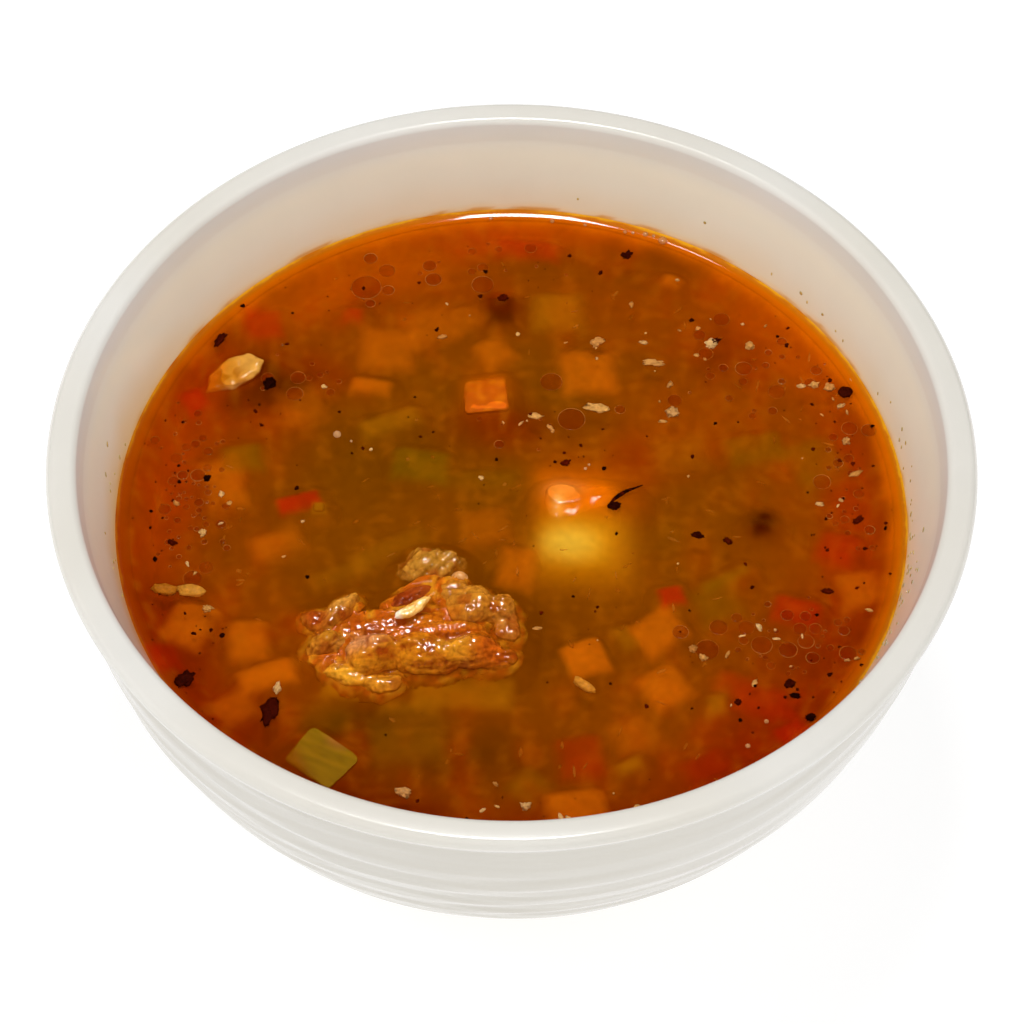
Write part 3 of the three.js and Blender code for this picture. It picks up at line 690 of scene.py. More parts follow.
for seed, (node, turn, width, deep, lumpy, pits, ridge, hollow, slot) in enumerate(MEATS):
    obj = dressed_copy([node], "stewed_" + node, MEAT_VOXEL, 4)
    points = places(obj)
    lumps = grain(points, 3.2, seed + 31)
    strand = fibres(points, turn, width, 7.0, seed + 11)
    fine = fibres(points, turn, width * 0.42, 3.5, seed + 21)
    pit = grain(points, 0.8, seed + 41)
    crumbs = grain(points, 0.45, seed + 61)
    relief = lumpy * lumps + deep * (strand + 0.45 * fine) - pits * ease(0.1, 0.5, pit)
    relief += CRUMB_HEIGHT * crumbs
    relief -= CREASE_DEPTH * creases(points, seed + 71)
    push(obj, relief + SWELLING)
    points = places(obj)
    # Raised fibres are painted lighter and hollows and pits darker, in the ridge and hollow colours and in
    # the patches: partly the meat's own colour, partly painted light and shade.
    raised = strand + 0.35 * fine - 0.4 * ease(0.1, 0.5, pit)
    colours = mix(linear(hollow), linear(ridge), ease(-0.9, 0.3, raised))
    for patch in MEAT_PATCHES:
        tone = linear(patch[5]) * (1 + 0.35 * np.clip(raised, -1, 1))[:, None]
        colours = mix(colours, tone, zone_share(points + 0.5 * lumps[:, None], patch))
    colours = mix(colours, RED_LEAN, 0.55 * ease(0.15, 0.45, grain(points, 2.6, seed + 51)))
    # The creases are painted darker: painted shade.
    colours = mix(colours, CREASE_SHADE, 0.4 * creases(points, seed + 71))
    depth = np.maximum(LEVEL - points[:, 2], 0)
    soaked = ease(1.0, -0.8, points[:, 2] - LEVEL + 0.4 * lumps)
    colours = mix(colours, SOAKED_SIDE, 0.4 * soaked)
    colours = mix(colours, open_broth(points), ease(0.2, 2.4, depth))
    paint(obj, colours)
    obj.data.materials.append(lean_material if slot == "lean_meat" else meat_material)
    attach(obj, "root")
    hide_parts(node)
    garnish.append(obj)

# The soaked meat lies round the four pieces that touch: it rises between them and sinks away from them.
SOAKED_VOXEL = 0.36
SOAKED_REACH = 1.4
SOAKED_LOOK = 6
SOAKED_RISE = 1.3
SOAKED_SLOPE = 0.8
WET_ABOVE = 0.3
soaked_meat = dressed_copy([row[0] for row in MEATS[:4]], "soaked_meat", SOAKED_VOXEL, 4)
points = places(soaked_meat)
push(soaked_meat, SOAKED_REACH + 0.9 * grain(points, 2.4, 66) + 0.35 * grain(points, 0.9, 67))
points = places(soaked_meat)
meat_trees = [BVHTree.FromObject(obj, bpy.context.evaluated_depsgraph_get()) for obj in garnish]
away = np.empty(len(points))
between = np.empty(len(points))
look = SOAKED_LOOK * MM
for i, point in enumerate(points):
    at = Vector((point[0], point[1], LEVEL)) * MM
    near = sorted((tree.find_nearest(at, look)[3] or look) for tree in meat_trees)
    away[i] = near[0] / MM
    between[i] = near[1] / MM
between = ease(3.6, 1.4, between) * ease(-2.5, -6.0, points[:, 0])
shoulder = LEVEL - 0.1 + SOAKED_RISE * between - SOAKED_SLOPE * away
shoulder -= 0.35 * np.abs(grain(points, 1.4, 68))
points[:, 2] = np.minimum(points[:, 2], shoulder)
move_to(soaked_meat, points)
points = places(soaked_meat)
tone = mix(linear("b05008"), linear("c47a14"), ease(-0.2, 0.5, grain(points, 1.6, 69)))
tone *= (1 + 0.25 * grain(points, 0.7, 64))[:, None]
paint(soaked_meat, mix(tone, open_broth(points), ease(0.3, 1.5, away + 0.5 * grain(points, 1.2, 70))))
soaked_material = painted_material("meat_in_broth", roughness=0.9, specular=0.0, mottle=0.2,
                                   mottle_size=0.7)
soaked_meat.data.materials.append(soaked_material)
soaked_meat.data.materials.append(lean_material)
for polygon in soaked_meat.data.polygons:
    if polygon.center[2] / MM > LEVEL + WET_ABOVE:
        polygon.material_index = 1
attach(soaked_meat, "root")
sunken.append(soaked_meat)

# ---------------------------------------------------------------- the fat on the meat
# A wedge of soft cream-coloured fat that lies on the meat, and a round bead of it further back.

fat_material = painted_material("wet_soft_fat", roughness=0.14, specular=0.25, mottle=0.1,
                                mottle_size=0.8, bump=0.06, bump_size=0.4)
for node, code, edge_code in (("fat_sliver", "ecb45c", "d08a2c"), ("fat_bead", "cc8c4c", "b07030")):
    obj = dressed_copy([node], "soft_" + node, 0.14, 5)
    points = places(obj)
    push(obj, 0.1 * grain(points, 0.9, 71) + 0.06 * grain(points, 0.4, 72) + 0.05)
    points = places(obj)
    blotch = grain(points, 1.1, 73)
    colours = mix(linear(code), linear(edge_code), ease(0.0, 0.55, blotch))
    low = points.min(axis=0)
    high = points.max(axis=0)
    along = (points[:, 0] - low[0]) / (high[0] - low[0])
    if node == "fat_sliver":
        colours = mix(colours, linear("fff0d4"), 0.8 * ease(0.28, 0.05, along))
    paint(obj, colours)
    obj.data.materials.append(fat_material)
    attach(obj, "root")
    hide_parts(node)
    garnish.append(obj)

# ---------------------------------------------------------------- the vegetables that break the surface
# A boiled potato chunk and a carrot dice whose edges reach the air, a celery piece tilted under the
# surface at the front, and a thin scale of onion that floats at the back left.

vegetable_material = painted_material("boiled_vegetable", roughness=0.12, specular=0.1, mottle=0.08,
                                      mottle_size=1.3, bump=0.03, bump_size=0.5)
sunken_vegetable_material = painted_material("boiled_vegetable_under_broth", roughness=0.6, specular=0.02,
                                             mottle=0.08, mottle_size=1.3)


def faded(obj, own, reach):
    """Own colours near the surface, the broth's colours where the piece sinks or turns away."""
    points = places(obj)
    depth = np.maximum(LEVEL - points[:, 2], 0)
    sides = ease(0.15, 0.85, normals(obj)[:, 2])
    return mix(open_broth(points), own, np.exp(-((depth / reach) ** 2)) * sides)


def finish_vegetable(obj, node, colours, material=vegetable_material):
    paint(obj, colours)
    obj.data.materials.append(material)
    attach(obj, "root")
    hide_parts(node)
    garnish.append(obj)


POTATO_SHOWING = 0.1
CELERY_UNDER = 0.12
WORN_SHARE = 0.8


def settled(obj, height):
    """Wears down what stands further out of the surface than a height."""
    points = places(obj)
    over = np.maximum(points[:, 2] - LEVEL - height, 0)
    points[:, 2] -= WORN_SHARE * over
    move_to(obj, points)
    return points


potato = dressed_copy(["potato_chunk"], "boiled_potato", 0.35, 14)
points = places(potato)
push(potato, 0.35 * grain(points, 3.6, 81) + 0.12 * grain(points, 1.1, 82))
points = settled(potato, POTATO_SHOWING)
# What stands above the surface is painted a fifth darker: a painted shade that evens it with the parts the
# broth covers.
own = potato_tone(points) * (1 - 0.2 * ease(LEVEL - 0.2, LEVEL + 0.05, points[:, 2]))[:, None]
finish_vegetable(potato, "potato_chunk", faded(potato, own, 9.0))

carrot = dressed_copy(["carrot_dice"], "boiled_carrot", 0.25, 9)
points = places(carrot)
push(carrot, 0.15 * grain(points, 2.0, 84) + 0.06 * grain(points, 0.7, 85))
points = settled(carrot, 0)
own = mix(linear("cc5a02"), linear("e07404"), ease(-0.2, 0.5, grain(points, 1.8, 86)))
from_middle = np.abs(points - (points.min(axis=0) + points.max(axis=0)) / 2) / np.ptp(points, axis=0) * 2
towards_edge = from_middle[:, :2].max(axis=1) + 0.2 * grain(points, 1.5, 79)
own = mix(own, linear("b45000"), 0.8 * ease(0.6, 1.0, towards_edge))
finish_vegetable(carrot, "carrot_dice", faded(carrot, own, 4.0), sunken_vegetable_material)

celery = dressed_copy(["celery_dice"], "boiled_celery", 0.25, 9)
points = places(celery)
push(celery, 0.08 * fibres(points, -38, 0.7, 6, 87) + 0.1 * grain(points, 2.0, 88))
points = places(celery)
points[:, 2] = np.minimum(points[:, 2], LEVEL - CELERY_UNDER)
move_to(celery, points)
own = mix(linear("846a02"), linear("997704"), ease(-0.3, 0.5, fibres(points, -38, 0.8, 5, 89)))
corner = np.hypot(points[:, 0] + 26.6, points[:, 1] + 44.4)
own = mix(own, linear("b56c30"), 0.7 * ease(3.4, 0.8, corner))
left_side = ease(-31.5, -34.5, points[:, 0] + 0.5 * (points[:, 1] + 48))
own = mix(own, linear("954e02"), 0.7 * left_side)
finish_vegetable(celery, "celery_dice", faded(celery, own, 2.6), sunken_vegetable_material)

onion = dressed_copy(["onion_piece"], "boiled_onion", 0.22, 8)
points = places(onion)
push(onion, 0.2 * grain(points, 2.2, 90) + 0.07 * grain(points, 0.8, 91) + 0.03)
points = places(onion)
vein = grain(points * (1, 1, 0.3), 1.7, 92)
own = mix(linear("c07a20"), linear("a45c08"), ease(0.0, 0.45, vein))
own = mix(own, linear("d09a44"), 0.6 * ease(-47.5, -43.5, points[:, 0] + 0.5 * (points[:, 1] - 28) + vein))
rim_side = ease(26.4, 25.0, points[:, 1] - 0.35 * (points[:, 0] + 47))
own = mix(own, linear("f4c474"), 0.6 * rim_side)
own = mix(own, linear("d86c04"), 0.85 * ease(-48.0, -51.0, points[:, 0] + 0.6 * vein))
finish_vegetable(onion, "onion_piece", faded(onion, own, 1.6))

# ---------------------------------------------------------------- the broth
# A cloudy brown broth that fills the bowl to its level. Its body scatters light a few millimetres
# under the surface, and a thin clearer layer with red oil lies over it, drawn up at the wall and
# at every piece that stands out of it.

# The surface: its rings, its rise at the wall, and the strip there that is too thick to see through.
CLEAR_SEGMENTS = 420
CLEAR_RINGS = 116
CLEAR_EDGE = 3.2
CLEAR_EDGE_RINGS = 28
RING_GAP = 0.4
INTO_WALL = 0.12
MENISCUS_SLOPE = 0.45
MENISCUS_WIDTH = 2.6
MENISCUS_STRAIGHT = 0.4
WALL_LEAN = 0.3
THICK_EDGE = 2.2
DULL_EDGE = 0.8
EDGE_SHADE = 0.79
clear_radius = soup_radius + INTO_WALL

# How the surface creeps up the pieces that stand out of it.
FOOD_WITHIN = 62
CREEP_REACH = 4
CREEP_WIDTH = 3.5
CREEP_HEIGHT = 0.14
CREEP_BEND = 0.75

# The cloudy body: how deep it starts, and how close it lies over and round the sunken pieces.
BODY_SEGMENTS = 360
BODY_RINGS = 110
BODY_EDGE = 3.6
BODY_EDGE_RINGS = 14
BODY_INSET = 0.08
BODY_WALL_INSET = 0.4
BODY_DEPTH = 3.2
BODY_WAVES = 0.5
BODY_WAVE_LENGTH = 9
BODY_GAP = 0.12
LEAST_DEPTH = 0.1
SHALLOW_FROM_WALL = 1.9
DEEP_FROM_WALL = 6.5
CLOUD_REACH = 4
CLOUD_UNDER = 0.22
CLOUD_OVER = -0.2
CLEAR_DEPTH = 0.45
VEILED_BEYOND = 0.3


def climb(radius):
    """How far the surface climbs the wall: straight at the wall, then ever flatter."""
    away = np.maximum(clear_radius - np.asarray(radius, float), 0)
    bend = np.clip(MENISCUS_WIDTH - np.maximum(away, MENISCUS_STRAIGHT), 0, None) ** 2
    bend *= MENISCUS_SLOPE / (2 * (MENISCUS_WIDTH - MENISCUS_STRAIGHT))
    return bend + MENISCUS_SLOPE * np.maximum(MENISCUS_STRAIGHT - away, 0)


def filled(radii, segments, inset):
    """A body that fills the bowl: a level top with rings at these radii over the bowl's inner outline."""
    wall = inner_outline(inset, 10)
    outline = [(0, LEVEL)] + [(r, LEVEL) for r in radii] + wall[:-1][::-1]
    points, faces = lathe(outline, segments)
    top = 1 + len(radii) * segments
    return points, [face[::-1] for face in faces], top


submerged_trees = []
for obj in garnish + [soaked_meat]:
    tree = BVHTree.FromObject(obj, bpy.context.evaluated_depsgraph_get())
    submerged_trees.append((tree, CLOUD_UNDER, VEILED_BEYOND if obj in (potato, carrot) else math.inf))
for _, kind, _, _ in SUNKEN_KINDS:
    for seed, piece in enumerate(kind):
        points, faces = soft_dice(piece, seed)
        tree = BVHTree.FromPolygons([Vector(p) * MM for p in points], faces)
        lap = CLOUD_UNDER if piece[6] < CLEAR_DEPTH else CLOUD_OVER
        submerged_trees.append((tree, lap, math.inf))


def pool_depth(points):
    """How deep under the surface the cloudy body starts: it lies close over each sunken piece."""
    radius = np.hypot(points[:, 0], points[:, 1])
    depth = BODY_DEPTH + BODY_WAVES * grain(points * (1, 1, 0), BODY_WAVE_LENGTH, seed=4)
    depth *= ease(soup_radius - SHALLOW_FROM_WALL, soup_radius - DEEP_FROM_WALL, radius)
    for i, point in enumerate(points):
        at = Vector((point[0], point[1], LEVEL)) * MM
        for tree, lap, veiled_beyond in submerged_trees:
            nearest = tree.find_nearest(at, CLOUD_REACH * MM)[3]
            if nearest is not None:
                veil = min(max(nearest / MM - veiled_beyond, 0), 2 * CLOUD_UNDER)
                depth[i] = min(depth[i], max(nearest / MM + lap - veil, LEAST_DEPTH))
    return depth + BODY_GAP


body_radius = soup_radius - BODY_INSET
body_radii = list(np.linspace(0.8, body_radius - (BODY_EDGE + RING_GAP), BODY_RINGS))
body_radii += list(np.linspace(body_radius - BODY_EDGE, body_radius, BODY_EDGE_RINGS))
points, faces, top = filled(body_radii, BODY_SEGMENTS, BODY_WALL_INSET)
points[:top, 2] -= pool_depth(points[:top])
cloudy = make_object("cloudy_broth", points, faces)
paint(cloudy, broth(points))
cloudy_material = painted_material("cloudy_broth", roughness=0.9, specular=0.0, mottle=0.09,
                                   mottle_size=1.1)
cloudy.data.materials.append(cloudy_material)
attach(cloudy, "root")

clear_radii = list(np.linspace(0.5, clear_radius - (CLEAR_EDGE + RING_GAP), CLEAR_RINGS))
clear_radii += list(clear_radius - CLEAR_EDGE * (1 - np.linspace(0.0, 1, CLEAR_EDGE_RINGS)) ** 1.1)
points, faces, top = filled(clear_radii, CLEAR_SEGMENTS, -INTO_WALL)
rise = climb(np.hypot(points[:top, 0], points[:top, 1]))
points[:top, 2] += rise
points[:top, :2] *= (1 + WALL_LEAN * ease(0.4, 0.7, rise) * rise / clear_radius)[:, None]
surface_trees = []
for obj in garnish:
    surface_trees.append(BVHTree.FromObject(obj, bpy.context.evaluated_depsgraph_get()))
reach = CREEP_REACH * MM
for i in range(top):
    if math.hypot(points[i][0], points[i][1]) > FOOD_WITHIN:
        continue
    at = Vector(points[i]) * MM
    nearest = min((tree.find_nearest(at, reach)[3] or reach) for tree in surface_trees) / MM
    if nearest < CREEP_WIDTH:
        points[i, 2] += CREEP_HEIGHT * math.exp(-nearest / CREEP_BEND)
clear = make_object("clear_broth", points, faces)
radius = np.hypot(points[:, 0], points[:, 1])
at_wall = ease(clear_radius - THICK_EDGE - 0.3, clear_radius - THICK_EDGE, radius)
shade = EDGE_SHADE + 0.1 * ease(clear_radius - THICK_EDGE, clear_radius - DULL_EDGE, radius)
film = mix(open_broth(points), broth(points), 0.7 * cover(points, POTATO_PLACE))
paint(clear, mix(film, broth(points) * shade[:, None], at_wall))
clear_material = painted_material("clear_broth", roughness=0.05, specular=0.02, alpha=0.3, mottle=0.03,
                                  mottle_size=2)
edge_material = painted_material("broth_at_wall", roughness=0.05, specular=0.45, mottle=0.03,
                                 mottle_size=2)
dull_material = painted_material("thin_broth_at_wall", roughness=0.5, specular=0.05, mottle=0.06,
                                 mottle_size=0.8)
for material in (clear_material, edge_material, dull_material):
    clear.data.materials.append(material)
for polygon in clear.data.polygons:
    from_wall = clear_radius - math.hypot(polygon.center[0], polygon.center[1]) / MM
    if from_wall < THICK_EDGE:
        polygon.material_index = 2 if from_wall < DULL_EDGE else 1
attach(clear, "root")
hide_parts("soup")

# ---------------------------------------------------------------- pepper, scraps and rice on the surface
# Coarsely ground black pepper, shreds of onion and rice broken up in cooking, and three whole grains
# of rice. They float half sunk, the fine specks gathered in the oil near the wall.

FLAKE_THICKNESS = 0.9
GRAIN_THICKNESS = 1.5
FLOAT_SHARE = 0.15
# Each: x, y, length, width, turn in degrees.
pepper_flakes = [
    (56.5, 25.2, 2.4, 2.3, 0), (-51.9, -34.0, 3.2, 2.2, 50), (-38.1, -39.9, 5.0, 2.6, 78),
    (19.9, 55.4, 1.8, 1.4, 20), (-1.7, 45.4, 1.5, 1.2, 0), (17.0, 0.9, 1.9, 1.3, 5),
    (8.9, 9.7, 1.6, 0.9, 8), (30.6, -5.0, 1.9, 0.9, -8),
    (35.6, -6.1, 1.4, 1.0, -35), (57.2, -1.7, 1.9, 1.0, 40), (51.5, -16.0, 1.8, 0.9, -5),
    (44.6, -34.1, 1.5, 1.3, 0), (45.4, -36.3, 1.6, 0.8, -12), (47.6, -40.3, 1.6, 1.1, 12),
    (36.2, -37.6, 1.0, 0.9, 0), (-41.3, 26.2, 2.4, 1.8, 64), (-50.2, 35.8, 2.9, 1.2, 58),
    (-10.6, -60.6, 2.4, 1.2, -5), (-50.7, 6.0, 1.2, 0.9, 50), (34.8, 36.1, 1.5, 0.9, 35),
    (-55.6, -7.3, 1.4, 0.9, -30),
]
pale_scraps = [
    (14.5, 35.7, 2.2, 1.6, 30), (14.4, 21.4, 3.6, 1.5, -12), (27.0, 20.6, 2.0, 1.9, 20),
    (24.0, 31.2, 3.6, 1.0, -6), (34.1, 35.5, 2.0, 1.7, 15), (40.7, 35.1, 1.3, 1.5, 80),
    (56.1, 14.7, 1.4, 1.1, 60), (51.3, 26.7, 1.5, 1.1, 0), (53.9, 26.2, 1.7, 1.4, 0),
    (-16.7, -54.7, 2.2, 1.6, -10), (2.5, -57.2, 1.5, 1.2, 0), (20.1, -57.4, 1.3, 1.0, -40),
    (-37.1, -35.5, 1.0, 1.9, 0), (-49.1, -20.4, 1.6, 1.0, -8), (-50.8, -5.3, 1.1, 1.3, 0),
    (29.3, -27.5, 1.2, 1.2, 0), (30.9, -29.2, 1.3, 0.9, -30),
]
rice_grains = [(-56.3, -16.7, 4.0, 1.8, -8), (-51.9, -16.9, 4.6, 2.0, -4), (11.8, -34.7, 3.8, 1.5, -38)]


def ball(rings, segments):
    """The corners and faces of a unit ball."""
    outline = [(0, -1)]
    outline += [(math.sin(math.pi * i / rings), -math.cos(math.pi * i / rings)) for i in range(1, rings)]
    outline += [(0, 1)]
    return lathe(outline, segments)


def floater(at, half, turn, seed, rough=0.3, rings=7, segments=12, lift=FLOAT_SHARE, size=0.8,
            blunt=1.0):
    """A small uneven thing in the surface: rough sets how ragged, lift how far out, blunt how plump."""
    points, faces = ball(rings, segments)
    points = np.sign(points) * np.abs(points) ** blunt
    uneven = grain(points, size, seed) + 0.45 * grain(points, size * 0.4, seed + 1)
    points = points * (1 + rough * uneven[:, None]) * half
    c, s = math.cos(math.radians(turn)), math.sin(math.radians(turn))
    x, y = points[:, 0] * c - points[:, 1] * s, points[:, 0] * s + points[:, 1] * c
    return np.stack([x + at[0], y + at[1], points[:, 2] + LEVEL + 2 * half[2] * lift], axis=1), faces


def finish_small(name, bodies, codes, material, seed):
    """Joins small things of one kind and gives each its own shade between the colours."""
    obj = make_object(name, *joined(bodies))
    rng = random.Random(seed)
    colours = []
    for body in bodies:
        first, second = rng.sample(codes, 2)
        colour = mix(linear(first), linear(second), np.array([rng.random()]))[0]
        colours.append(np.tile(colour, (len(body[0]), 1)))
    colours = np.concatenate(colours)
    colours *= 1 + 0.25 * grain(places(obj), 0.7, seed)[:, None]
    paint(obj, colours)
    obj.data.materials.append(material)
    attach(obj, "root")


ROUND_FLAKE = 0.25
RAGGED_FLAKE = 0.75
rng = random.Random(7)
flakes = []
for seed, (x, y, length, width, turn) in enumerate(pepper_flakes):
    half = np.array([length, width, FLAKE_THICKNESS]) / 2
    rough = ROUND_FLAKE if width > 2.2 and length < 2.5 else RAGGED_FLAKE
    flakes.append(floater((x, y), half, turn, seed, rough=rough, rings=11, segments=18, size=0.5))

# A dark fibre beside the potato, thickest in its middle, as a row of overlapping beads.
FIBRE_BEADS = 14
fibre_points = [(16.3, 1.5), (17.4, 2.7), (18.9, 3.9), (21.4, 5.1)]
spans = len(fibre_points) - 1
for i in range(FIBRE_BEADS):
    along = i / (FIBRE_BEADS - 1)
    k = min(int(along * spans), spans - 1)
    share = along * spans - k
    a, b = fibre_points[k], fibre_points[k + 1]
    x, y = a[0] + (b[0] - a[0]) * share, a[1] + (b[1] - a[1]) * share
    thick = 0.2 + 0.8 * math.sin(math.pi * along)
    half = np.array([0.5, 0.4 * thick, 0.2 * thick + 0.1])
    flakes.append(floater((x, y), half, 40 - 10 * k, i, rings=5, segments=8))

# Each field: its middle, its spread, how many.
SPECK_FIELDS = [
    ((-57, 2), (5, 24), 34), ((-52, -28), (7, 12), 30), ((-30, 44), (22, 10), 22), ((10, 50), (24, 10), 16),
    ((46, 30), (14, 14), 34), ((57, 0), (6, 22), 46), ((46, -34), (14, 10), 26), ((0, -57), (30, 5), 20),
    ((12, 10), (14, 12), 22), ((-10, 0), (40, 40), 40), ((30, -20), (24, 24), 24),
    ((-42, 22), (10, 10), 20),
]
WALL_CLEARANCE = 1.2


def free_of_garnish(x, y, clearance):
    """True where a small thing on the surface stays clear of the larger pieces."""
    at = Vector((x, y, LEVEL)) * MM
    return all(tree.find_nearest(at, clearance * MM)[0] is None for tree in surface_trees)


def scatter(fields, count_scale, clearance, rng):
    """Random places in soft fields on the surface, clear of the wall and of the larger pieces."""
    spots = []
    for (cx, cy), (sx, sy), count in fields:
        for _ in range(int(count * count_scale)):
            x, y = rng.gauss(cx, sx * 0.55), rng.gauss(cy, sy * 0.55)
            if math.hypot(x, y) < soup_radius - WALL_CLEARANCE and free_of_garnish(x, y, clearance):
                spots.append((x, y))
    return spots


for i, (x, y) in enumerate(scatter(SPECK_FIELDS, 0.8, 0.6, rng)):
    size = 0.1 + 0.26 * rng.random() ** 2.2
    half = np.array([size * rng.uniform(0.8, 1.5), size, size * 0.7])
    flakes.append(floater((x, y), half, rng.uniform(0, 180), i, rough=0.9, rings=5, segments=8, size=0.9))
pepper_material = painted_material("black_pepper", roughness=0.6, specular=0.02, mottle=0.3,
                                   mottle_size=0.5, bump=0.06, bump_size=0.25)
finish_small("pepper_flakes", flakes, ["240500", "400a00", "180300", "581200"], pepper_material, 5)

scraps = []
for seed, (x, y, length, width, turn) in enumerate(pale_scraps):
    half = np.array([length, width, FLAKE_THICKNESS]) / 2
    scraps.append(floater((x, y), half, turn, seed + 40, rough=0.9, rings=11, segments=18, size=0.5))
SCRAP_FIELDS = [
    ((30, 34), (16, 12), 26), ((54, 14), (6, 16), 20), ((40, -28), (16, 10), 22), ((-50, -6), (7, 12), 14),
    ((-4, 40), (10, 8), 8), ((5, -56), (24, 4), 16), ((0, 0), (44, 44), 34), ((3, 17), (6, 3), 12),
]
for i, (x, y) in enumerate(scatter(SCRAP_FIELDS, 0.55, 0.8, rng)):
    size = 0.16 + 0.38 * rng.random() ** 2.4
    half = np.array([size * rng.uniform(1.0, 2.6), size, 0.14 + size * 0.2])
    scraps.append(floater((x, y), half, rng.uniform(0, 180), i, rough=0.9, rings=6, segments=9, size=0.5,
                          lift=0.0))
scrap_material = painted_material("soft_pale_scraps", roughness=0.3, specular=0.06, mottle=0.16,
                                  mottle_size=0.5, bump=0.06, bump_size=0.3)
finish_small("pale_scraps", scraps, ["dca054", "c8803c", "e0b070", "b87430"], scrap_material, 6)

# Pale threads that hang just under the surface.
wisps = []
WISP_FIELDS = [
    ((-12, 2), (26, 16), 70), ((24, -12), (22, 20), 60), ((0, 44), (26, 10), 40), ((44, 20), (12, 18), 40),
    ((0, -48), (34, 8), 40), ((-46, -12), (8, 20), 30),
]
for i, (x, y) in enumerate(scatter(WISP_FIELDS, 0.4, 0.9, rng)):
    half = np.array([rng.uniform(0.3, 1.1), rng.uniform(0.1, 0.3), 0.1])
    wisps.append(floater((x, y), half, rng.uniform(0, 180), i, rough=0.9, rings=8, segments=7, size=0.5,
                         lift=-2.2))
wisp_material = painted_material("sunken_wisps", roughness=0.6, specular=0.0, alpha=0.3, mottle=0.1,
                                 mottle_size=0.5)
finish_small("sunken_wisps", wisps, ["e07c1c", "d06c10", "f0902c", "c06008"], wisp_material, 14)

grains = []
for seed, (x, y, length, width, turn) in enumerate(rice_grains):
    half = np.array([length, width, GRAIN_THICKNESS]) / 2
    grains.append(floater((x, y), half, turn, seed + 80, rough=0.34, rings=14, segments=20, size=0.7,
                          blunt=0.8))
finish_small("rice_grains", grains, ["c8781c", "b46814", "d08c30"], scrap_material, 8)

# ---------------------------------------------------------------- oil drops and air bubbles
# Round drops of red oil that lie on the broth, alone or crowded together, each with a pale edge
# where its rim bends the light, and a few air bubbles no larger than a pinhead.

# Each: x, y, radius.
oil_drops = [
    (-5.3, 48.4, 1.9), (6.6, 27.0, 1.85), (-51.9, -14.3, 1.5), (27.4, -24.2, 1.3), (-25.5, 47.6, 2.6),
    (27.5, 23.2, 1.2), (10.0, 19.0, 2.3), (36.0, 41.0, 1.4), (31.6, -27.6, 1.9), (-36.5, 27.5, 1.3),
    (44.6, -27.5, 1.5), (48.5, -29.0, 1.1), (40.4, -26.6, 1.7), (-14.6, 52.6, 1.2),
]
DROP_FIELDS = [
    ((-53, 3), (5, 12), 130), ((42, -25), (12, 6), 60), ((42, 30), (14, 10), 34), ((56, 6), (5, 14), 26),
    ((-8, 50), (22, 8), 18), ((-36, 28), (7, 6), 12), ((2, 17), (10, 5), 10),
]
SMALLEST_DROP = 0.25
DROP_SPREAD = 1.25
DROP_GAP = 0.05
DROP_BULGE = 0.12
DROP_LIFT = 0.02
RIM_LIFT = 0.06
rng = random.Random(21)
all_drops = list(oil_drops)
for x, y in scatter(DROP_FIELDS, 1.0, 1.4, rng):
    r = SMALLEST_DROP + DROP_SPREAD * rng.random() ** 1.8
    if all(math.hypot(x - a, y - b) > r + c + DROP_GAP for a, b, c in all_drops):
        all_drops.append((x, y, r))


def lens(x, y, radius, segments=28):
    """A shallow round drop that lies on the surface."""
    bulge = DROP_BULGE * min(1, 0.5 + radius / 3)
    outline = [(0, -0.12), (radius * 0.7, -0.1), (radius, 0.0)]
    for share in (0.97, 0.9, 0.75, 0.5, 0.25):
        outline.append((radius * share, bulge * math.sqrt(1 - share ** 2)))
    outline.append((0, bulge))
    points, faces = lathe(outline, segments)
    return points + (x, y, LEVEL + DROP_LIFT), faces


def drop_rim(x, y, radius, thick, segments=32, around=6):
    """The fine pale ring that the rim of a drop shows, thinner on one side."""
    points, faces = [], []
    turn = 5 * x + 3 * y
    for i in range(segments):
        a = 2 * math.pi * i / segments
        tube = thick * (0.6 + 0.4 * math.sin(a + turn))
        for j in range(around):
            b = 2 * math.pi * j / around
            out = radius + tube * math.cos(b)
            z = LEVEL + RIM_LIFT + tube * math.sin(b)
            points.append((x + out * math.cos(a), y + out * math.sin(a), z))
            i2, j2 = (i + 1) % segments, (j + 1) % around
            faces.append([i * around + j, i2 * around + j, i2 * around + j2, i * around + j2])
    return np.array(points), faces


oil_material = painted_material("red_oil", roughness=0.08, specular=0.1, alpha=0.25, mottle=0.04)
rim_material = painted_material("oil_edge", roughness=0.6, specular=0.0, alpha=0.4, mottle=0.1)
finish_small("oil_drops", [lens(*drop) for drop in all_drops], ["801400", "8c2000", "a03400"],
             oil_material, 9)
rims = [drop_rim(x, y, r, 0.05 + 0.02 * min(r, 2)) for x, y, r in all_drops]
finish_small("oil_drop_edges", rims, ["dc8c40", "cc6c20", "b85814"], rim_material, 10)

# Each: x, y, radius.
air_bubbles = [
    (37.5, -45.8, 0.42), (40.6, -41.2, 0.4), (6.8, 63.0, 0.4), (23.2, 60.0, 0.5), (26.2, 58.6, 0.8),
    (19.6, 60.6, 0.35), (21.0, 60.4, 0.3), (-4.0, 63.6, 0.35), (24.6, 59.6, 0.3), (12.6, 62.2, 0.3),
    (12.3, 8.6, 0.3), (12.9, 9.4, 0.25), (-29.4, 15.4, 0.7), (-27.0, 14.0, 0.25),
]
BUBBLE_FLATNESS = 0.75
BUBBLE_LIFT = 0.1
bubbles = []
for x, y, r in air_bubbles:
    points, faces = ball(12, 18)
    z = LEVEL + climb(math.hypot(x, y)) + BUBBLE_LIFT
    bubbles.append((points * r * (1, 1, BUBBLE_FLATNESS) + (x, y, z), faces))
bubble_material = painted_material("air_bubble", roughness=0.05, specular=0.8, alpha=0.5, mottle=0.02)
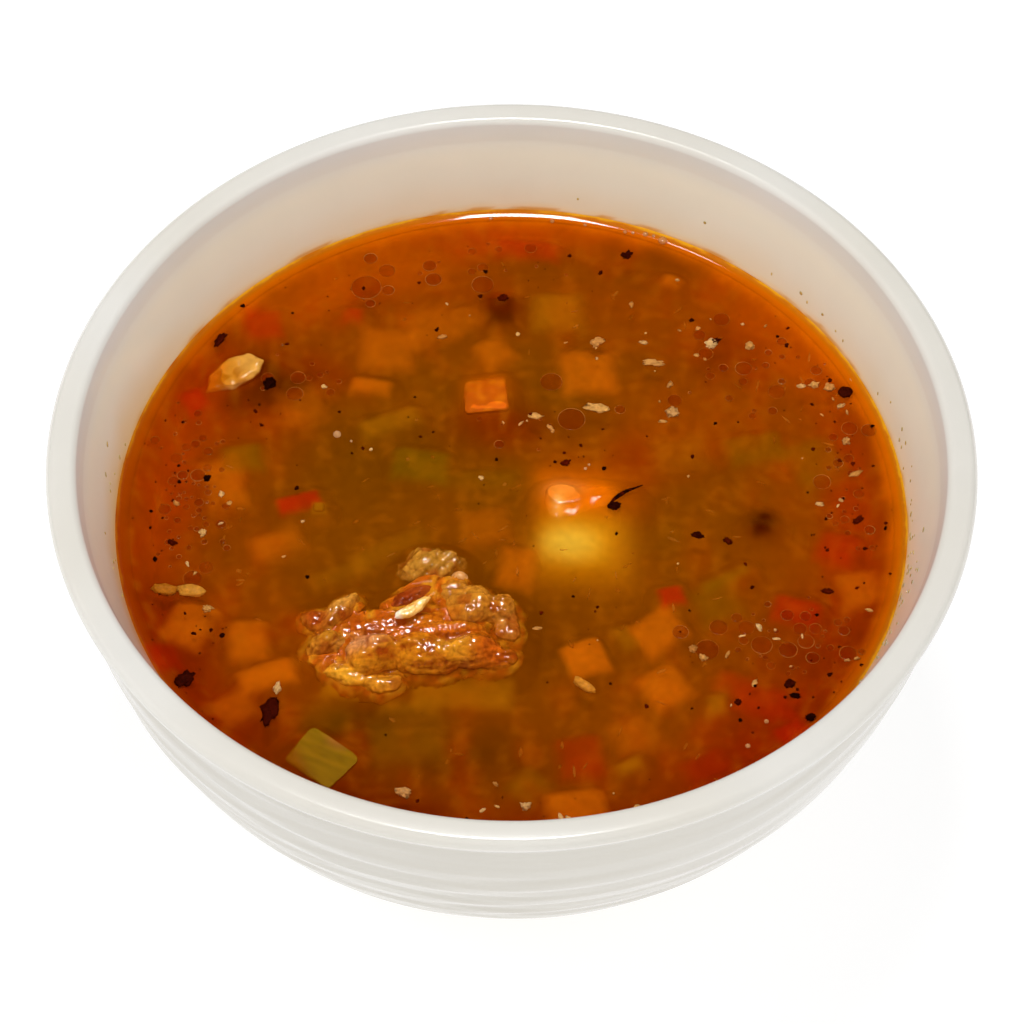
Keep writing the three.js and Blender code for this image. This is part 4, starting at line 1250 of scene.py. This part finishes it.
finish_small("air_bubbles", bubbles, ["f0b880", "e0a060"], bubble_material, 11)

# ---------------------------------------------------------------- the drops on the bowl's wall
# Fine drops of oil and a little pepper that the ladle left on the glaze above the soup, most of them
# on the right.

# Each field: its direction in degrees, its spread in radians, how many.
WALL_DROP_FIELDS = [(-7, 0.16, 46), (-28, 0.1, 14), (178, 0.12, 8), (196, 0.1, 6), (50, 0.4, 10)]
LOWEST_DROP = 1.2
DROP_CLIMB = 3.2
WALL_DROP_THICKNESS = 0.09
rng = random.Random(33)
wall_drops = []
for direction, spread, count in WALL_DROP_FIELDS:
    for _ in range(count):
        angle = rng.gauss(math.radians(direction), spread)
        up = LOWEST_DROP + abs(rng.gauss(0, DROP_CLIMB))
        share = min(up / FLARE_RISE, 0.95)
        out = soup_radius + FLARE_OUT * share * (1 - FLARE_BEND + FLARE_BEND * share)
        size = 0.16 + 0.22 * rng.random() ** 1.6
        points, faces = ball(5, 8)
        points = points * (WALL_DROP_THICKNESS, size, size * rng.uniform(1.2, 3.2))
        c, s = math.cos(angle), math.sin(angle)
        x, y = points[:, 0] * c - points[:, 1] * s, points[:, 0] * s + points[:, 1] * c
        z = points[:, 2] + SOUP_LINE + up
        wall_drops.append((np.stack([x + out * c, y + out * s, z], axis=1), faces))
drop_material = painted_material("oil_on_glaze", roughness=0.1, specular=0.5, mottle=0.1)
finish_small("drops_on_wall", wall_drops, ["dcc070", "ccac48", "c0982c", "d8c078"], drop_material,
             12)

# ---------------------------------------------------------------- floor, light and camera
# A plain white floor under soft studio light, seen from in front and above.

FLOOR_HALF = 4000
FLOOR_GAP = 0.2
FLOOR_GREY = 0.35
FLOOR_GLOW = 0.75
floor_corners = [(x * FLOOR_HALF, y * FLOOR_HALF, 0) for x, y in ((-1, -1), (1, -1), (1, 1), (-1, 1))]
floor = make_object("floor", floor_corners, [(0, 1, 2, 3)])
floor.location.z = -FLOOR_GAP * MM
floor_material = bpy.data.materials.new("pale_floor")
floor_material.use_nodes = True
floor_shader = floor_material.node_tree.nodes["Principled BSDF"]
floor_shader.inputs["Base Color"].default_value = (FLOOR_GREY, FLOOR_GREY, FLOOR_GREY, 1)
floor_shader.inputs["Roughness"].default_value = 0.9
floor_shader.inputs["Specular IOR Level"].default_value = 0.1
floor_shader.inputs["Emission Color"].default_value = (1, 1, 1, 1)
floor_shader.inputs["Emission Strength"].default_value = FLOOR_GLOW
floor.data.materials.append(floor_material)

# The sky is even but for a darker ceiling towards the back, which the soup's surface would mirror.
SKY_STRENGTH = 0.62
DARK_CEILING = (0, 0.6, 0.8)
CEILING_FROM = 0.72
CEILING_TO = 0.93
CEILING_SHARE = 0.08
world = bpy.data.worlds.new("studio")
bpy.context.scene.world = world
world.use_nodes = True
world.cycles_visibility.glossy = False
world_nodes = world.node_tree.nodes
world_nodes["Background"].inputs["Color"].default_value = (1, 1, 1, 1)
sky_place = world_nodes.new("ShaderNodeTexCoord")
ceiling = world_nodes.new("ShaderNodeVectorMath")
ceiling.operation = "DOT_PRODUCT"
ceiling.inputs[1].default_value = DARK_CEILING
sky = world_nodes.new("ShaderNodeMapRange")
sky.inputs["From Min"].default_value = CEILING_FROM
sky.inputs["From Max"].default_value = CEILING_TO
sky.inputs["To Min"].default_value = SKY_STRENGTH
sky.inputs["To Max"].default_value = SKY_STRENGTH * CEILING_SHARE
world.node_tree.links.new(sky_place.outputs["Generated"], ceiling.inputs[0])
world.node_tree.links.new(ceiling.outputs["Value"], sky.inputs["Value"])
world.node_tree.links.new(sky.outputs["Result"], world_nodes["Background"].inputs["Strength"])


def softbox(name, at, aim, size, power, lit=True, mirrored=True):
    """A soft rectangular lamp that lights surfaces, shows as their gloss, or both."""
    light = bpy.data.lights.new(name, "AREA")
    light.shape = "RECTANGLE"
    light.size, light.size_y = size
    light.energy = power
    obj = bpy.data.objects.new(name, light)
    obj.visible_diffuse = lit
    obj.visible_glossy = mirrored
    obj.location = at
    obj.rotation_euler = (Vector(aim) - Vector(at)).to_track_quat("-Z", "Y").to_euler()
    bpy.context.scene.collection.objects.link(obj)
    return obj


CENTRE = (0, 0, LEVEL * MM)
softbox("key", (-0.03, 0.2, 0.86), CENTRE, (0.2, 0.2), 2.4, mirrored=False)
softbox("side_fill", (-0.55, 0.02, 0.5), CENTRE, (0.4, 0.3), 0.9, mirrored=False)
softbox("front_fill", (0.25, -0.75, 0.85), CENTRE, (0.8, 0.5), 2.7, mirrored=False)
softbox("arc", (-0.01, 0.17, 0.86), CENTRE, (0.1, 0.16), 1.9, lit=False)
softbox("arc_right", (-0.115, 0.26, 0.86), CENTRE, (0.03, 0.05), 0.1, lit=False)
glint = softbox("glint", (0, 0.22, 0.86), CENTRE, (0.2, 0.2), 10, lit=False)
wet_food = bpy.data.collections.new("wet_food")
for obj in garnish + [soaked_meat]:
    wet_food.objects.link(obj)
glint.light_linking.receiver_collection = wet_food

RIM_DISTANCE = 550
LOOK_DOWN = math.radians(52.71)
ROLL = 0.0072
SENSOR_WIDTH = 36
PICTURE_PIXELS = 1024
FOCAL_PIXELS = 3412
RIM_ABOVE_MIDDLE_PIXELS = 68.4
BELOW_MIDDLE = math.atan(RIM_ABOVE_MIDDLE_PIXELS / FOCAL_PIXELS)

camera = bpy.data.cameras.new("camera")
camera.lens = SENSOR_WIDTH * FOCAL_PIXELS / PICTURE_PIXELS
camera.sensor_width = SENSOR_WIDTH
camera_object = bpy.data.objects.new("camera", camera)
bpy.context.scene.collection.objects.link(camera_object)
camera_height = BOWL_HEIGHT + RIM_DISTANCE * math.sin(LOOK_DOWN)
place = Vector((0, -RIM_DISTANCE * math.cos(LOOK_DOWN), camera_height)) * MM
ahead = Vector((0, math.cos(LOOK_DOWN), -math.sin(LOOK_DOWN)))
right = Vector((1, 0, 0))
up = right.cross(ahead)
tipped_up = math.cos(ROLL) * up - math.sin(ROLL) * right
tipped_right = math.cos(ROLL) * right + math.sin(ROLL) * up
gaze = math.cos(BELOW_MIDDLE) * ahead - math.sin(BELOW_MIDDLE) * tipped_up
camera_up = tipped_right.cross(gaze)
camera_object.matrix_world = Matrix((
    (tipped_right[0], camera_up[0], -gaze[0], place[0]),
    (tipped_right[1], camera_up[1], -gaze[1], place[1]),
    (tipped_right[2], camera_up[2], -gaze[2], place[2]),
    (0, 0, 0, 1),
))
bpy.context.scene.camera = camera_object
bpy.context.scene.view_settings.view_transform = "Standard"
